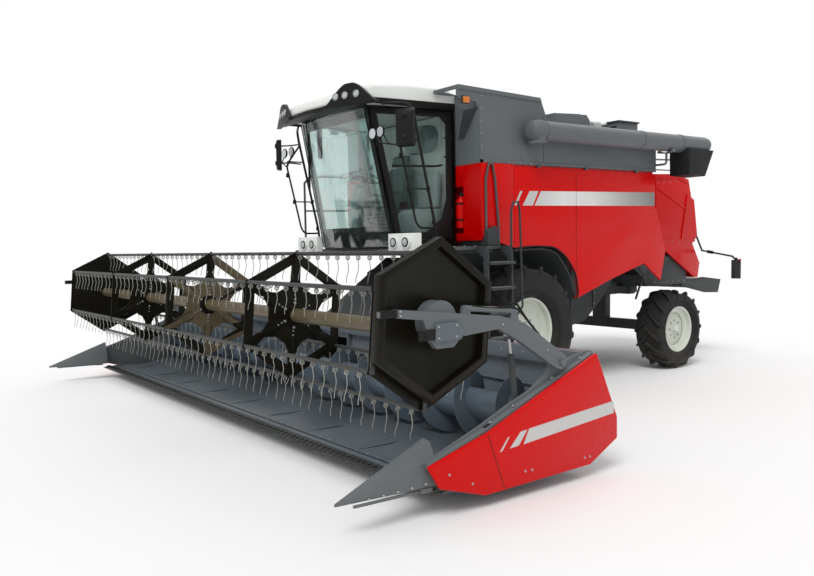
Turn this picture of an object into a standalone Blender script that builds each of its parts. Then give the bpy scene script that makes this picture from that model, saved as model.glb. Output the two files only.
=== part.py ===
"""Combine harvester with a grain header, modelled in metres, +Z up, the front towards -Y and the ladder side
towards +X. Side outlines are (y, z) points measured from the front axle; one empty then puts the middle of the
footprint on the origin. Each sub-part is one closed solid, and moving pieces have their origin on their axis."""

import math

import bmesh
import bpy
from mathutils import Matrix, Vector

CLEAR = 0.0003          # between pieces that rest on each other
FREE = 0.008            # between pieces that move past each other
PIN_FREE = 0.0008       # round a pin in its bore

# Wheels: outer radius with lugs, width, middle of the tread from the centre plane, rim radius
FRONT_TYRE_R, FRONT_TYRE_W, FRONT_TRACK, FRONT_RIM_R = 0.845, 0.62, 1.17, 0.405
REAR_TYRE_R, REAR_TYRE_W, REAR_TRACK, REAR_RIM_R = 0.595, 0.43, 1.20, 0.325
LUG_H, LUG_SLANT, FRONT_LUGS, REAR_LUGS = 0.042, 0.95, 17, 15
HUB_BORE_R, BEAD = 0.062, 0.012
WHEELBASE = 3.35
KINGPIN_X, KINGPIN_R = 0.86, 0.035
AXLE_R = 0.10

# Body
BODY_HALF, BODY_FRONT = 0.60, -0.45
BODY_LOW = FRONT_TYRE_R + 0.205         # underside of the body over the front axle
SIDE_X, SIDE_T = 1.36, 0.03            # side panels: inner face and thickness
SEAM_Z = 2.94                          # between red and grey
PANEL_FRONT, PANEL_SPLIT, PANEL_REAR = -0.80, -0.25, 2.70
CORNER_X = 0.945                       # inner edge of the front corners beside the cab
TANK_TOP, TANK_WALL = 3.795, 0.03
TANK_REAR = 0.389
DECK_REAR = 2.765
TANK_FRONT = -0.66
EXTENSION_Y, EXTENSION_TOP = -1.15, 3.835  # the tank's extension overhangs the front corners
HOOD_HALF, BELLY_HALF = 1.0, 0.84
ENGINE = (0.45, 0.95, 2.25, 3.30)       # half width, front, rear, top

# Cab
CAB_FLOOR_Z, CAB_ROOF_Z = 2.02, 3.64
CAB_FRONT_TOP, CAB_FRONT_LOW, CAB_REAR = -2.01, -1.66, -0.78
CAB_TAPER, CAB_REAR_HALF = 0.153, 0.90
POST = 0.05
GLASS_T = 0.006
ROOF_REAR, ROOF_HALF = -0.73, 0.93

# Platform and ladder
DECK_Z, DECK_T, DECK_FRONT, DECK_REAR_Y = 1.90, 0.04, -1.66, -0.52
LADDER_OUT, LADDER_Y, LADDER_W, STEPS, STEP_RISE, STEP_LOW = 0.12, -0.75, 0.40, 5, 0.30, 0.52
LADDER_X = FRONT_TRACK + FRONT_TYRE_W / 2 + LADDER_OUT     # hangs outside the drive tyre
DECK_HALF = LADDER_X - 0.14
TREAD_T = 0.004                        # raised tread plates on the deck

GLASS_BOW, DOOR_GAP = 0.10, 0.012
HINGE_R = 0.011

# Header: half width, knife line, table back, auger
HEAD_HALF, END_T, COVER_T = 3.99, 0.09, 0.035   # half width, end panel with its cover, cover
KNIFE_Y, KNIFE_Z = -3.70, 0.17
HEAD_BACK_Y, HEAD_TOP_Z, SHEET = -2.12, 1.02, 0.02
AUGER_Y, AUGER_Z, AUGER_CORE_R, AUGER_R, AUGER_PITCH = -2.56, 0.52, 0.15, 0.31, 0.50
GUARD_PITCH, GUARD_L = 0.1524, 0.13

# Reel
REEL_Y, REEL_Z, REEL_R, REEL_HALF, REEL_TURN = -3.78, 1.349, 0.579, 3.77, -5.2
BAR_R, SHAFT_R = 0.017, 0.065
TINE_PITCH, TINE_L, TINE_R = 0.155, 0.25, 0.005
CAM_OFFSET = 0.087
ARM_X, ARM_T, ARM_PIN_R = 3.945, 0.05, 0.025
STUB_R, SPIDER_HUB_R, SPIDER_T, CAM_X, CAM_HUB_R, CRANK_R = 0.028, 0.265, 0.008, 3.81, 0.15, 0.010
REEL_LIFT_BASE, REEL_LIFT_EYE, REEL_LIFT_PIN_R, REEL_LIFT_X = (-2.93, 0.70), (-3.0, 1.27), 0.014, 3.842
END_SHEET, AUGER_PIN_R = 0.02, 0.03
ARM_PIVOT = (-2.528, 1.011)

# Feeder house and its lift
FEEDER_HALF, FEEDER_MOUTH, FEEDER_WALL = 0.52, HEAD_BACK_Y + 0.0283, 0.03
FEEDER_PIVOT, FEEDER_PIN_R = (-0.62, 1.62), 0.03
LIFT_BASE, LIFT_EYE, LIFT_X = (-0.16, FRONT_TYRE_R - 0.245), (-1.35, 0.50), 0.40
LIFT_BARREL_R, LIFT_ROD_R, LIFT_PIN_R = 0.055, 0.028, 0.02

# Unloading auger
UNLOAD_X, UNLOAD_Y, UNLOAD_Z, UNLOAD_R, UNLOAD_END = 1.53, 0.02, 3.345, 0.125, 3.06
TURRET_R = 0.15

FRONT_TIP, TAIL_END = -4.68, 5.25
MIDDLE = -(FRONT_TIP + TAIL_END) / 2

for old in list(bpy.data.objects):
    bpy.data.objects.remove(old, do_unlink=True)
PARTS = bpy.data.collections.new("combine_harvester")
CUTTERS = bpy.data.collections.new("cutters")
bpy.context.scene.collection.children.link(PARTS)
bpy.context.scene.collection.children.link(CUTTERS)
ROOT = bpy.data.objects.new("machine", None)
ROOT.location = (0, MIDDLE, 0)
PARTS.objects.link(ROOT)


def material(name, colour, roughness, metallic=0.0):
    mat = bpy.data.materials.new(name)
    mat.use_nodes = True
    shader = mat.node_tree.nodes["Principled BSDF"]
    shader.inputs["Base Color"].default_value = (*colour, 1)
    shader.inputs["Roughness"].default_value = roughness
    shader.inputs["Metallic"].default_value = metallic
    mat.diffuse_color = (*colour, 1)
    return mat


RED = material("red_paint", (0.60, 0.006, 0.002), 0.35)
GREY = material("grey_paint", (0.13, 0.145, 0.15), 0.45)
DARK = material("dark_grey_paint", (0.05, 0.055, 0.06), 0.5)
BLACK = material("black_paint", (0.015, 0.014, 0.012), 0.45)
RUBBER = material("tyre_rubber", (0.02, 0.02, 0.02), 0.85)
WHITE = material("off_white_paint", (0.75, 0.78, 0.72), 0.4)
RIM = material("rim_paint", (0.55, 0.58, 0.54), 0.45)
STEEL = material("bare_steel", (0.5, 0.5, 0.5), 0.35, 1.0)
GLASS = material("cab_glass", (0.6, 0.85, 0.8), 0.05)
CLOTH = material("seat_cloth", (0.03, 0.03, 0.03), 0.9)
ENGINE_PAINT = material("engine_paint", (0.2, 0.2, 0.2), 0.5)


def keep(mesh, name="shape"):
    obj = bpy.data.objects.new(name, mesh)
    CUTTERS.objects.link(obj)
    return obj


def drop(obj):
    mesh = obj.data
    bpy.data.objects.remove(obj, do_unlink=True)
    if mesh.users == 0 and isinstance(mesh, bpy.types.Mesh):
        bpy.data.meshes.remove(mesh)


def to_mesh(obj):
    """The evaluated shape as a welded mesh object in place of obj."""
    bpy.context.view_layer.update()
    graph = bpy.context.evaluated_depsgraph_get()
    mesh = bpy.data.meshes.new_from_object(obj.evaluated_get(graph))
    mesh.transform(obj.matrix_world)
    bm = bmesh.new()
    bm.from_mesh(mesh)
    bmesh.ops.remove_doubles(bm, verts=bm.verts, dist=1e-5)
    bm.to_mesh(mesh)
    bm.free()
    data = obj.data
    bpy.data.objects.remove(obj, do_unlink=True)
    if isinstance(data, bpy.types.Curve):
        bpy.data.curves.remove(data)
    return keep(mesh)


def block(x, y, z, turn=None):
    """A box from its low and high values on each axis, turned about its centre if asked."""
    bm = bmesh.new()
    bmesh.ops.create_cube(bm, size=1)
    bmesh.ops.scale(bm, vec=(x[1] - x[0], y[1] - y[0], z[1] - z[0]), verts=bm.verts)
    if turn is not None:
        bmesh.ops.transform(bm, matrix=turn, verts=bm.verts)
    bmesh.ops.translate(bm, vec=(sum(x) / 2, sum(y) / 2, sum(z) / 2), verts=bm.verts)
    mesh = bpy.data.meshes.new("block")
    bm.to_mesh(mesh)
    bm.free()
    return keep(mesh)


def bar(p, q, r, sides=12, r2=None, spin=0.0):
    """A round bar from p to q, tapering to r2."""
    p, q = Vector(p), Vector(q)
    bm = bmesh.new()
    bmesh.ops.create_cone(bm, cap_ends=True, segments=sides, radius1=r, radius2=r if r2 is None else r2,
                          depth=(q - p).length)
    face = (q - p).to_track_quat("Z", "Y").to_matrix().to_4x4()
    bmesh.ops.transform(bm, matrix=Matrix.Translation((p + q) / 2) @ face @ Matrix.Rotation(spin, 4, "Z"),
                        verts=bm.verts)
    mesh = bpy.data.meshes.new("bar")
    bm.to_mesh(mesh)
    bm.free()
    return keep(mesh)


PLANES = {
    "x": Matrix(((0, 0, 1, 0), (1, 0, 0, 0), (0, 1, 0, 0), (0, 0, 0, 1))),   # outline (y, z)
    "y": Matrix(((1, 0, 0, 0), (0, 0, -1, 0), (0, 1, 0, 0), (0, 0, 0, 1))),  # outline (x, z)
    "z": Matrix(((1, 0, 0, 0), (0, 1, 0, 0), (0, 0, 1, 0), (0, 0, 0, 1))),   # outline (x, y)
}


def slab(outline, axis, low, high):
    """A flat outline with a thickness from low to high along the axis."""
    curve = bpy.data.curves.new("outline", "CURVE")
    curve.dimensions = "2D"
    curve.fill_mode = "BOTH"
    curve.extrude = (high - low) / 2
    spline = curve.splines.new("POLY")
    spline.points.add(len(outline) - 1)
    for point, (a, b) in zip(spline.points, outline):
        point.co = (a, b, 0, 1)
    spline.use_cyclic_u = True
    obj = keep(curve)
    middle = (low + high) / 2
    shift = {"x": (middle, 0, 0), "y": (0, middle, 0), "z": (0, 0, middle)}[axis]
    obj.matrix_world = Matrix.Translation(shift) @ PLANES[axis]
    return to_mesh(obj)


def pipe(points, r, cyclic=False, resolution=1):
    """A bent tube with capped ends."""
    curve = bpy.data.curves.new("tube", "CURVE")
    curve.dimensions = "3D"
    curve.bevel_depth = r
    curve.bevel_resolution = resolution
    curve.use_fill_caps = not cyclic
    spline = curve.splines.new("POLY")
    spline.points.add(len(points) - 1)
    for point, co in zip(spline.points, points):
        point.co = (*co, 1)
    spline.use_cyclic_u = cyclic
    return to_mesh(keep(curve))


def turned(profile, steps):
    """A profile of (x along the axle, radius) points turned about the X axis through the origin."""
    bm = bmesh.new()
    verts = [bm.verts.new((x, 0, r)) for x, r in profile]
    for a, b in zip(verts, verts[1:] + verts[:1]):
        bm.edges.new((a, b))
    mesh = bpy.data.meshes.new("turned")
    bm.to_mesh(mesh)
    bm.free()
    obj = keep(mesh)
    screw = obj.modifiers.new("turn", "SCREW")
    screw.axis = "X"
    screw.steps = screw.render_steps = steps
    screw.use_merge_vertices = True
    screw.merge_threshold = 0.0001
    obj = to_mesh(obj)
    bm = bmesh.new()
    bm.from_mesh(obj.data)
    bmesh.ops.recalc_face_normals(bm, faces=bm.faces)
    bm.to_mesh(obj.data)
    bm.free()
    return obj


def moved(obj, matrix):
    obj.data.transform(matrix)
    if matrix.determinant() < 0:
        obj.data.flip_normals()
    return obj


def at(x, y, z):
    return Matrix.Translation((x, y, z))


def copy(obj, matrix=Matrix.Identity(4)):
    return moved(keep(obj.data.copy()), matrix)


MIRROR = Matrix.Scale(-1, 4, (1, 0, 0))


def boolean(base, others, operation):
    group = bpy.data.collections.new("operands")
    bpy.context.scene.collection.children.link(group)
    for other in others:
        group.objects.link(other)
        CUTTERS.objects.unlink(other)
    change = base.modifiers.new(operation.lower(), "BOOLEAN")
    change.operation = operation
    change.operand_type = "COLLECTION"
    change.collection = group
    change.solver = "EXACT"
    base = to_mesh(base)
    for other in list(group.objects):
        drop(other)
    bpy.data.collections.remove(group)
    return base


def union(base, *others):
    """Joined one after another, since neighbours may also meet each other."""
    for other in others:
        base = boolean(base, [other], "UNION")
    return base


def weld(base, others):
    """Joined all at once: pieces that meet the base but not each other."""
    return boolean(base, others, "UNION")


def cut(base, *others):
    return boolean(base, others, "DIFFERENCE")


def part(name, mat, obj, origin=(0, 0, 0)):
    """Names a finished solid, gives it its material and origin and parents it to the machine."""
    obj.data.transform(Matrix.Translation(-Vector(origin)))
    obj.name = obj.data.name = name
    obj.data.materials.clear()
    obj.data.materials.append(mat)
    obj.data.shade_smooth()
    obj.data.set_sharp_from_angle(angle=math.radians(35))
    obj.parent = ROOT
    obj.location = origin
    CUTTERS.objects.unlink(obj)
    PARTS.objects.link(obj)
    return obj


def pair(name, mat, obj, origin=(0, 0, 0)):
    """The left part and its mirror image on the right."""
    other = copy(obj, MIRROR)
    part(name + "_left", mat, obj, origin)
    part(name + "_right", mat, other, (-origin[0], origin[1], origin[2]))


# Wheels
def tyre(outer, width, rim, lugs):
    """A tyre whose tread is a skewed grid, with every fourth face on each side pulled out as a chevron lug."""
    body, half, bead = outer - LUG_H, width / 2, rim + BEAD
    columns, slant = 4 * lugs, LUG_SLANT * half / body
    # ring: along the axle, radius, turn against the centre line
    rings = [(-half * 0.72, bead, slant), (-half, (bead + body) / 2, slant), (-half * 0.9, body - 0.02, slant), (0, body, 0),
             (half * 0.9, body - 0.02, slant), (half, (bead + body) / 2, slant), (half * 0.72, bead, slant)]
    bm = bmesh.new()
    grid = []
    for x, r, turn in rings:
        angles = [2 * math.pi * k / columns + turn for k in range(columns)]
        grid.append([bm.verts.new((x, -r * math.sin(a), r * math.cos(a))) for a in angles])
    lifted = []
    for row, (low, high) in enumerate(zip(grid, grid[1:] + grid[:1])):
        for k in range(columns):
            n = (k + 1) % columns
            face = bm.faces.new((low[k], low[n], high[n], high[k]))
            if (row, k % 4) in ((2, 0), (3, 2)):
                lifted.append(face)
    bmesh.ops.recalc_face_normals(bm, faces=bm.faces)
    tops = bmesh.ops.extrude_discrete_faces(bm, faces=lifted)["faces"]
    for vert in {v for face in tops for v in face.verts}:
        r = math.hypot(vert.co.y, vert.co.z)
        vert.co.y *= (r + LUG_H) / r
        vert.co.z *= (r + LUG_H) / r
    mesh = bpy.data.meshes.new("tyre")
    bm.to_mesh(mesh)
    bm.free()
    return keep(mesh)


def rim(width, r, hub_x, bolt_r, steps):
    half = width / 2 * 0.72
    lip = (r + BEAD) * math.cos(math.pi / (4 * steps)) - CLEAR
    profile = [(-half, lip), (half, lip), (half, r - 0.01), (hub_x + 0.035, r - 0.045),
               (hub_x + 0.035, bolt_r + 0.06), (hub_x + 0.055, bolt_r), (hub_x + 0.055, HUB_BORE_R),
               (hub_x, HUB_BORE_R), (hub_x, r - 0.06), (-half, r - 0.01)]
    return turned(profile, steps)


FRONT_HUB = (FRONT_TRACK, 0, FRONT_TYRE_R)
REAR_HUB = (REAR_TRACK, WHEELBASE, REAR_TYRE_R)
pair("front_tyre", RUBBER, moved(tyre(FRONT_TYRE_R, FRONT_TYRE_W, FRONT_RIM_R, FRONT_LUGS), at(*FRONT_HUB)), FRONT_HUB)
pair("rear_tyre", RUBBER, moved(tyre(REAR_TYRE_R, REAR_TYRE_W, REAR_RIM_R, REAR_LUGS), at(*REAR_HUB)), REAR_HUB)
pair("front_rim", RIM, moved(rim(FRONT_TYRE_W, FRONT_RIM_R, 0.10, 0.16, FRONT_LUGS), at(*FRONT_HUB)), FRONT_HUB)
pair("rear_rim", RIM, moved(rim(REAR_TYRE_W, REAR_RIM_R, 0.03, 0.13, REAR_LUGS), at(*REAR_HUB)), REAR_HUB)


def sheet(points, t):
    """The outline of a bent sheet: a run of points given a thickness to its right."""
    back = []
    for i, (a, b) in enumerate(points):
        before = Vector(points[max(i - 1, 0)])
        after = Vector(points[min(i + 1, len(points) - 1)])
        along = (after - before).normalized()
        back.append((a + along.y * t, b - along.x * t))
    return points + back[::-1]


def both(obj):
    return [obj, copy(obj, MIRROR)]


# Body, front axle and rear axle
body = slab([(BODY_FRONT, BODY_LOW), (2.2, BODY_LOW), (2.75, 1.32), (2.75, SEAM_Z - CLEAR), (BODY_FRONT, SEAM_Z - CLEAR)],
            "x", -BODY_HALF, BODY_HALF)
belly = slab([(0.93, 0.86), (1.30, 0.72), (1.83, 0.80), (2.22, 1.10), (2.50, 1.42), (2.50, 1.90), (1.0, 1.90)],
             "x", -BELLY_HALF, BELLY_HALF)
rear_rails = both(slab([(2.1, 1.12), (2.1, 1.40), (2.75, 1.40), (3.0, 1.24 - CLEAR), (3.5, 1.24 - CLEAR), (3.5, 1.12)], "x", 0.46, 0.56))
rear_cross = block((-0.57, 0.57), (WHEELBASE - 0.08, WHEELBASE + 0.08), (1.10, 1.23))
AXLE_TOP = REAR_TYRE_R + 0.095
rear_post = block((-0.12, 0.12), (WHEELBASE - 0.07, WHEELBASE + 0.07), (AXLE_TOP + CLEAR, 1.18))
LUG_X = FEEDER_HALF + FREE
fy, fz = FEEDER_PIVOT
lugs = both(slab([(BODY_FRONT + 0.05, fz - 0.2), (BODY_FRONT + 0.05, fz + 0.2), (fy, fz + 0.07), (fy - 0.06, fz),
                  (fy, fz - 0.07)], "x", LUG_X, LUG_X + 0.035))
# Round wheel arches of sheet between the body and the side panels
arch = [(-0.26, 1.885), (0.30, 1.895), (0.50, 1.865), (0.62, 1.81), (0.72, 1.70), (0.85, 1.535), (0.93, 1.36), (0.965, 1.20)]
guard = slab(sheet(arch, 0.02), "x", -SIDE_X + 0.006, SIDE_X - 0.006)
body = union(body, belly, *rear_rails, rear_cross, rear_post, *lugs, guard)
body = cut(body, bar((-0.7, fy, fz), (0.7, fy, fz), FEEDER_PIN_R + PIN_FREE, sides=16))
part("separator_body", DARK, body)

SPINDLE_R = HUB_BORE_R * math.cos(math.pi / REAR_LUGS) - CLEAR
axle = bar((-0.75, 0, FRONT_TYRE_R), (0.75, 0, FRONT_TYRE_R), AXLE_R, sides=16)
saddles = both(block((0.44, 0.57), (-0.16, 0.16), (FRONT_TYRE_R, BODY_LOW - CLEAR)))
drives = both(slab([(-0.2, FRONT_TYRE_R - 0.22), (0.2, FRONT_TYRE_R - 0.22), (0.24, FRONT_TYRE_R), (0.15, FRONT_TYRE_R + 0.305),
                    (-0.15, FRONT_TYRE_R + 0.305), (-0.24, FRONT_TYRE_R)], "x", 0.66, 0.83))
spindles = both(bar((0.8, 0, FRONT_TYRE_R), (FRONT_TRACK + 0.17, 0, FRONT_TYRE_R), SPINDLE_R, sides=16))
ly, lz = LIFT_BASE
lift_lugs = []
for x in (LIFT_X - 0.082, LIFT_X + 0.062):
    lift_lugs += both(slab([(-0.06, FRONT_TYRE_R - 0.05), (0.08, FRONT_TYRE_R - 0.08), (0.0, lz - 0.05), (ly - 0.03, lz - 0.05),
                            (ly - 0.05, lz), (ly - 0.03, lz + 0.05)], "x", x, x + 0.02))
lift_pins = both(bar((LIFT_X - 0.07, ly, lz), (LIFT_X + 0.07, ly, lz), LIFT_PIN_R, sides=12))
part("front_axle", DARK, union(axle, *saddles, *drives, *spindles, *lift_lugs, *lift_pins))

ky, kz = WHEELBASE, REAR_TYRE_R
beam = block((-KINGPIN_X, KINGPIN_X), (ky - 0.06, ky + 0.06), (AXLE_TOP - 0.15, AXLE_TOP))
eyes = both(bar((KINGPIN_X, ky, AXLE_TOP - 0.17), (KINGPIN_X, ky, AXLE_TOP + 0.01), 0.075, sides=16))
beam = union(beam, *eyes)
beam = cut(beam, *both(bar((KINGPIN_X, ky, 0.2), (KINGPIN_X, ky, 1.2), KINGPIN_R + PIN_FREE, sides=16)))
part("rear_axle", DARK, beam)
EYE_LOW, EYE_TOP = AXLE_TOP - 0.17 - CLEAR, AXLE_TOP + 0.01 + CLEAR
pin = bar((KINGPIN_X, ky, EYE_LOW - 0.02), (KINGPIN_X, ky, EYE_TOP + 0.02), KINGPIN_R, sides=16)
plates = [block((KINGPIN_X - 0.06, KINGPIN_X + 0.13), (ky - 0.05, ky + 0.05), z)
          for z in ((EYE_LOW - 0.035, EYE_LOW), (EYE_TOP, EYE_TOP + 0.035))]
cheek = block((KINGPIN_X + 0.09, KINGPIN_X + 0.13), (ky - 0.06, ky + 0.06), (EYE_LOW - 0.035, EYE_TOP + 0.035))
spindle = bar((KINGPIN_X + 0.11, ky, kz), (REAR_TRACK + 0.10, ky, kz), SPINDLE_R, sides=16)
pair("knuckle", DARK, union(pin, *plates, cheek, spindle), (KINGPIN_X, ky, kz))

# Body panels
panel = slab([(PANEL_SPLIT + FREE, 1.90), (0.115, 1.921), (0.517, 1.901), (0.743, 1.77), (0.937, 1.534), (0.985, 1.275),
              (0.936, 1.201), (1.69, 1.43), (2.451, 1.627), (2.845, 1.363), (2.965, 1.802), (PANEL_REAR, 2.44),
              (PANEL_REAR, SEAM_Z - 0.03), (PANEL_SPLIT + FREE, SEAM_Z - 0.03)], "x", SIDE_X, SIDE_X + SIDE_T)
PANEL_HINGE = (SIDE_X + SIDE_T / 2, 0, SEAM_Z - 0.015)
PANEL_HINGES_Y = (0.26, 1.20, 2.30)
px, pz = PANEL_HINGE[0], PANEL_HINGE[2]
for y in PANEL_HINGES_Y:
    panel = union(panel, union(bar((px, y + CLEAR, pz), (px, y + 0.07, pz), HINGE_R, sides=8),
                               block((px - 0.007, px + 0.007), (y + 0.005, y + 0.065), (pz - 0.03, pz))))
pair("side_panel", RED, panel, PANEL_HINGE)
wall = block((-SIDE_X - 0.01, SIDE_X + 0.01), (BODY_FRONT - 0.04, BODY_FRONT - CLEAR), (1.98, SEAM_Z - CLEAR))
strips = both(slab([(PANEL_FRONT, 2.06), (PANEL_SPLIT, 1.91), (PANEL_SPLIT, SEAM_Z - CLEAR), (PANEL_FRONT, SEAM_Z - CLEAR)],
                   "x", SIDE_X, SIDE_X + SIDE_T))
# The red front corners beside the cab
returns = both(slab([(CORNER_X, BODY_FRONT - 0.03), (CORNER_X, PANEL_FRONT + 0.001), (SIDE_X + 0.013, PANEL_FRONT + 0.001),
                     (SIDE_X + 0.013, PANEL_FRONT + 0.026), (CORNER_X + 0.022, PANEL_FRONT + 0.026), (CORNER_X + 0.022, BODY_FRONT - 0.03)],
                    "z", 2.01, SEAM_Z - CLEAR - 0.002))
part("front_bulkhead", RED, union(union(wall, returns[0], returns[1]), *strips))

hood = slab([(DECK_REAR + CLEAR, 1.85), (DECK_REAR + CLEAR, SEAM_Z + 0.01), (3.9, 2.98), (4.20, 2.90), (4.28, 2.62), (4.36, 2.58), (4.46, 2.0),
             (4.32, 1.88), (4.53, 1.56), (4.48, 1.33), (4.39, 1.33), (3.45, 1.85)], "x", -HOOD_HALF, HOOD_HALF)
inside = slab([(2.5, 1.0), (2.5, SEAM_Z - 0.03), (3.9, 2.95), (4.16, 2.86), (4.25, 2.58), (4.33, 2.54), (4.42, 2.0),
               (4.28, 1.88), (4.44, 1.0)], "x", -HOOD_HALF + 0.03, HOOD_HALF - 0.03)
hood = cut(hood, inside)
hw = HOOD_HALF
lamp_arm = pipe([(hw - 0.10, 4.43, 2.08), (hw - 0.08, 4.54, 2.04), (hw, 4.60, 1.76), (hw + 0.40, 4.78, 1.66), (hw + 0.45, 4.80, 1.60),
                 (hw + 0.45, 4.80, 1.32)], 0.016)
lamp_board = block((hw + 0.38, hw + 0.52), (4.79, 4.82), (1.30, 1.60))
part("rear_hood", RED, union(hood, *both(union(lamp_arm, lamp_board))))

chopper = slab([(3.05, 1.42), (3.3, 1.70), (4.22, 1.70), (4.22, 1.24), (3.15, 1.24)],
               "x", -HOOD_HALF + 0.04, HOOD_HALF - 0.04)
tails = both(slab([(4.1, 1.28), (4.71, 1.32), (TAIL_END, 1.26), (TAIL_END - 0.08, 1.04), (4.79, 1.06), (4.1, 1.20)],
                  "x", HOOD_HALF - 0.075, HOOD_HALF - 0.045))
board = slab([(4.12, 1.285), (4.71, 1.308), (TAIL_END - 0.02, 1.250), (TAIL_END - 0.02, 1.230), (4.71, 1.288), (4.12, 1.265)],
             "x", -HOOD_HALF + 0.06, HOOD_HALF - 0.06)
part("straw_chopper", DARK, union(chopper, *tails, board))

# Grain tank and engine cover
tank = slab([(TANK_FRONT, SEAM_Z), (TANK_FRONT, TANK_TOP), (0.278, TANK_TOP), (TANK_REAR, 3.575), (TANK_REAR, SEAM_Z)],
            "x", -SIDE_X, SIDE_X)
w = TANK_WALL
hollow = slab([(TANK_FRONT + w, 3.30), (TANK_FRONT + w, 4.0), (0.278 - w, 4.0), (0.278 - w, TANK_TOP), (TANK_REAR - w, 3.57),
               (TANK_REAR - w, 3.30), (0.0, 3.0), (-0.25, 3.0)], "x", -SIDE_X + w, SIDE_X - w)
corner = block((CORNER_X, SIDE_X), (PANEL_FRONT, TANK_FRONT + 0.01), (SEAM_Z, 3.61))
overhang = slab([(PANEL_FRONT, 3.58), (PANEL_FRONT - 0.06, 3.66), (EXTENSION_Y + 0.03, 3.67), (EXTENSION_Y, 3.70), (EXTENSION_Y, EXTENSION_TOP),
                 (TANK_FRONT + 0.01, TANK_TOP), (TANK_FRONT + 0.01, 3.58)], "x", CORNER_X, SIDE_X)
tray = slab([(EXTENSION_Y + w, 3.70), (EXTENSION_Y + w, 4.0), (TANK_FRONT - 0.02, 4.0), (TANK_FRONT - 0.02, 3.70)],
            "x", CORNER_X + w, SIDE_X - w)
corners = both(union(corner, cut(overhang, tray)))
rims = both(slab([(EXTENSION_Y + 0.003, EXTENSION_TOP - 0.05), (EXTENSION_Y + 0.003, EXTENSION_TOP + 0.001), (0.27, TANK_TOP + 0.001), (0.295, TANK_TOP - 0.05)],
                 "x", SIDE_X - w + 0.004, SIDE_X + 0.012))
tank = cut(tank, hollow)
turret = bar((UNLOAD_X, UNLOAD_Y, SEAM_Z + 0.03), (UNLOAD_X, UNLOAD_Y, UNLOAD_Z - UNLOAD_R - 0.03), TURRET_R, sides=16)
branch = bar((SIDE_X - 0.02, UNLOAD_Y, 3.08), (UNLOAD_X, UNLOAD_Y, 3.08), 0.11, sides=12)
tank = union(tank, *corners, *rims, turret, branch)

COVER_FRONT = TANK_REAR - 0.01
cover = slab([(COVER_FRONT, SEAM_Z + 0.002), (COVER_FRONT, 3.56), (DECK_REAR, 3.258), (DECK_REAR, SEAM_Z + 0.002)],
             "x", -SIDE_X + 0.003, SIDE_X - 0.003)
void = slab([(COVER_FRONT + w, 2.8), (COVER_FRONT + w, 3.526), (DECK_REAR - w, 3.226), (DECK_REAR - w, 2.8)],
            "x", -SIDE_X + w, SIDE_X - w)
cover = cut(cover, void)
louvre = slab([(0.75, 3.45), (0.75, 3.66), (1.40, 3.69), (1.47, 3.62), (1.47, 3.40)], "x", 0.45, 1.2)
cleaner = block((0.65, 1.10), (2.25, 2.70), (3.25, 3.68))
intake = bar((0.85, 1.95, 3.60), (0.85, 2.4, 3.62), 0.09, sides=12)
intake_foot = bar((0.85, 2.0, 3.2), (0.85, 2.0, 3.60), 0.07, sides=10)
tank = union(tank, union(cover, louvre, cleaner, intake, intake_foot))
for y in PANEL_HINGES_Y:
    tank = union(tank, *both(union(bar((px, y - 0.06, pz), (px, y, pz), HINGE_R, sides=8),
                                   block((px - 0.033, px + 0.0055), (y - 0.054, y - 0.006), (pz - 0.0013, pz + 0.031)))))
part("grain_tank", GREY, tank)
half, front, rear, top = ENGINE
part("engine", ENGINE_PAINT, block((-half, half), (front, rear), (SEAM_Z, top - 0.05)))

# Unloading auger
ux, uy, uz = UNLOAD_X, UNLOAD_Y, UNLOAD_Z
boss = bar((ux, uy, uz - UNLOAD_R - 0.03 + CLEAR), (ux, uy, uz + 0.10), TURRET_R - 0.005, sides=16)
tube = bar((ux, uy, uz), (ux, UNLOAD_END, uz), UNLOAD_R, sides=16)
hub = bar((ux, uy, uz), (ux + 0.16, uy, uz), 0.14, sides=16)
part("unloading_tube", GREY, union(boss, tube, hub), (ux, uy, uz))
spout = slab([(UNLOAD_END + CLEAR, uz - 0.12), (UNLOAD_END + CLEAR, uz + 0.12), (3.66, uz + 0.10), (3.757, uz - 0.02),
              (3.50, 2.875), (3.07, 2.89)], "x", ux - 0.15, ux + 0.15)
part("unloading_spout", BLACK, spout, (ux, uy, uz))


# Cab
def shear(obj, run):
    """Slides each point by run(x, y, z), for a wall that leans."""
    for vert in obj.data.vertices:
        dx, dy = run(*vert.co)
        vert.co.x += dx
        vert.co.y += dy
    return obj


LEAN = (CAB_FRONT_TOP - CAB_FRONT_LOW) / (CAB_ROOF_Z - CAB_FLOOR_Z)


def front_y(z):
    return CAB_FRONT_LOW + LEAN * (z - CAB_FLOOR_Z)


def side_x(y):
    """The outside of the cab's side wall, a flat wall that widens to the rear."""
    return CAB_REAR_HALF + CAB_TAPER * (y - CAB_REAR)


def front_half(z):
    return side_x(front_y(z))


def plan(z, inset=0.0, bow=0.0, steps=6):
    """The cab's outline at height z, from the rear right round the front to the rear left."""
    y0 = front_y(z) + inset
    half = front_half(z) - inset
    points = [(-CAB_REAR_HALF + inset, CAB_REAR - inset)]
    for k in range(steps + 1):
        x = -half + 2 * half * k / steps
        points.append((x, y0 - bow * (1 - (x / half) ** 2)))
    points.append((CAB_REAR_HALF - inset, CAB_REAR - inset))
    return points


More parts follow.
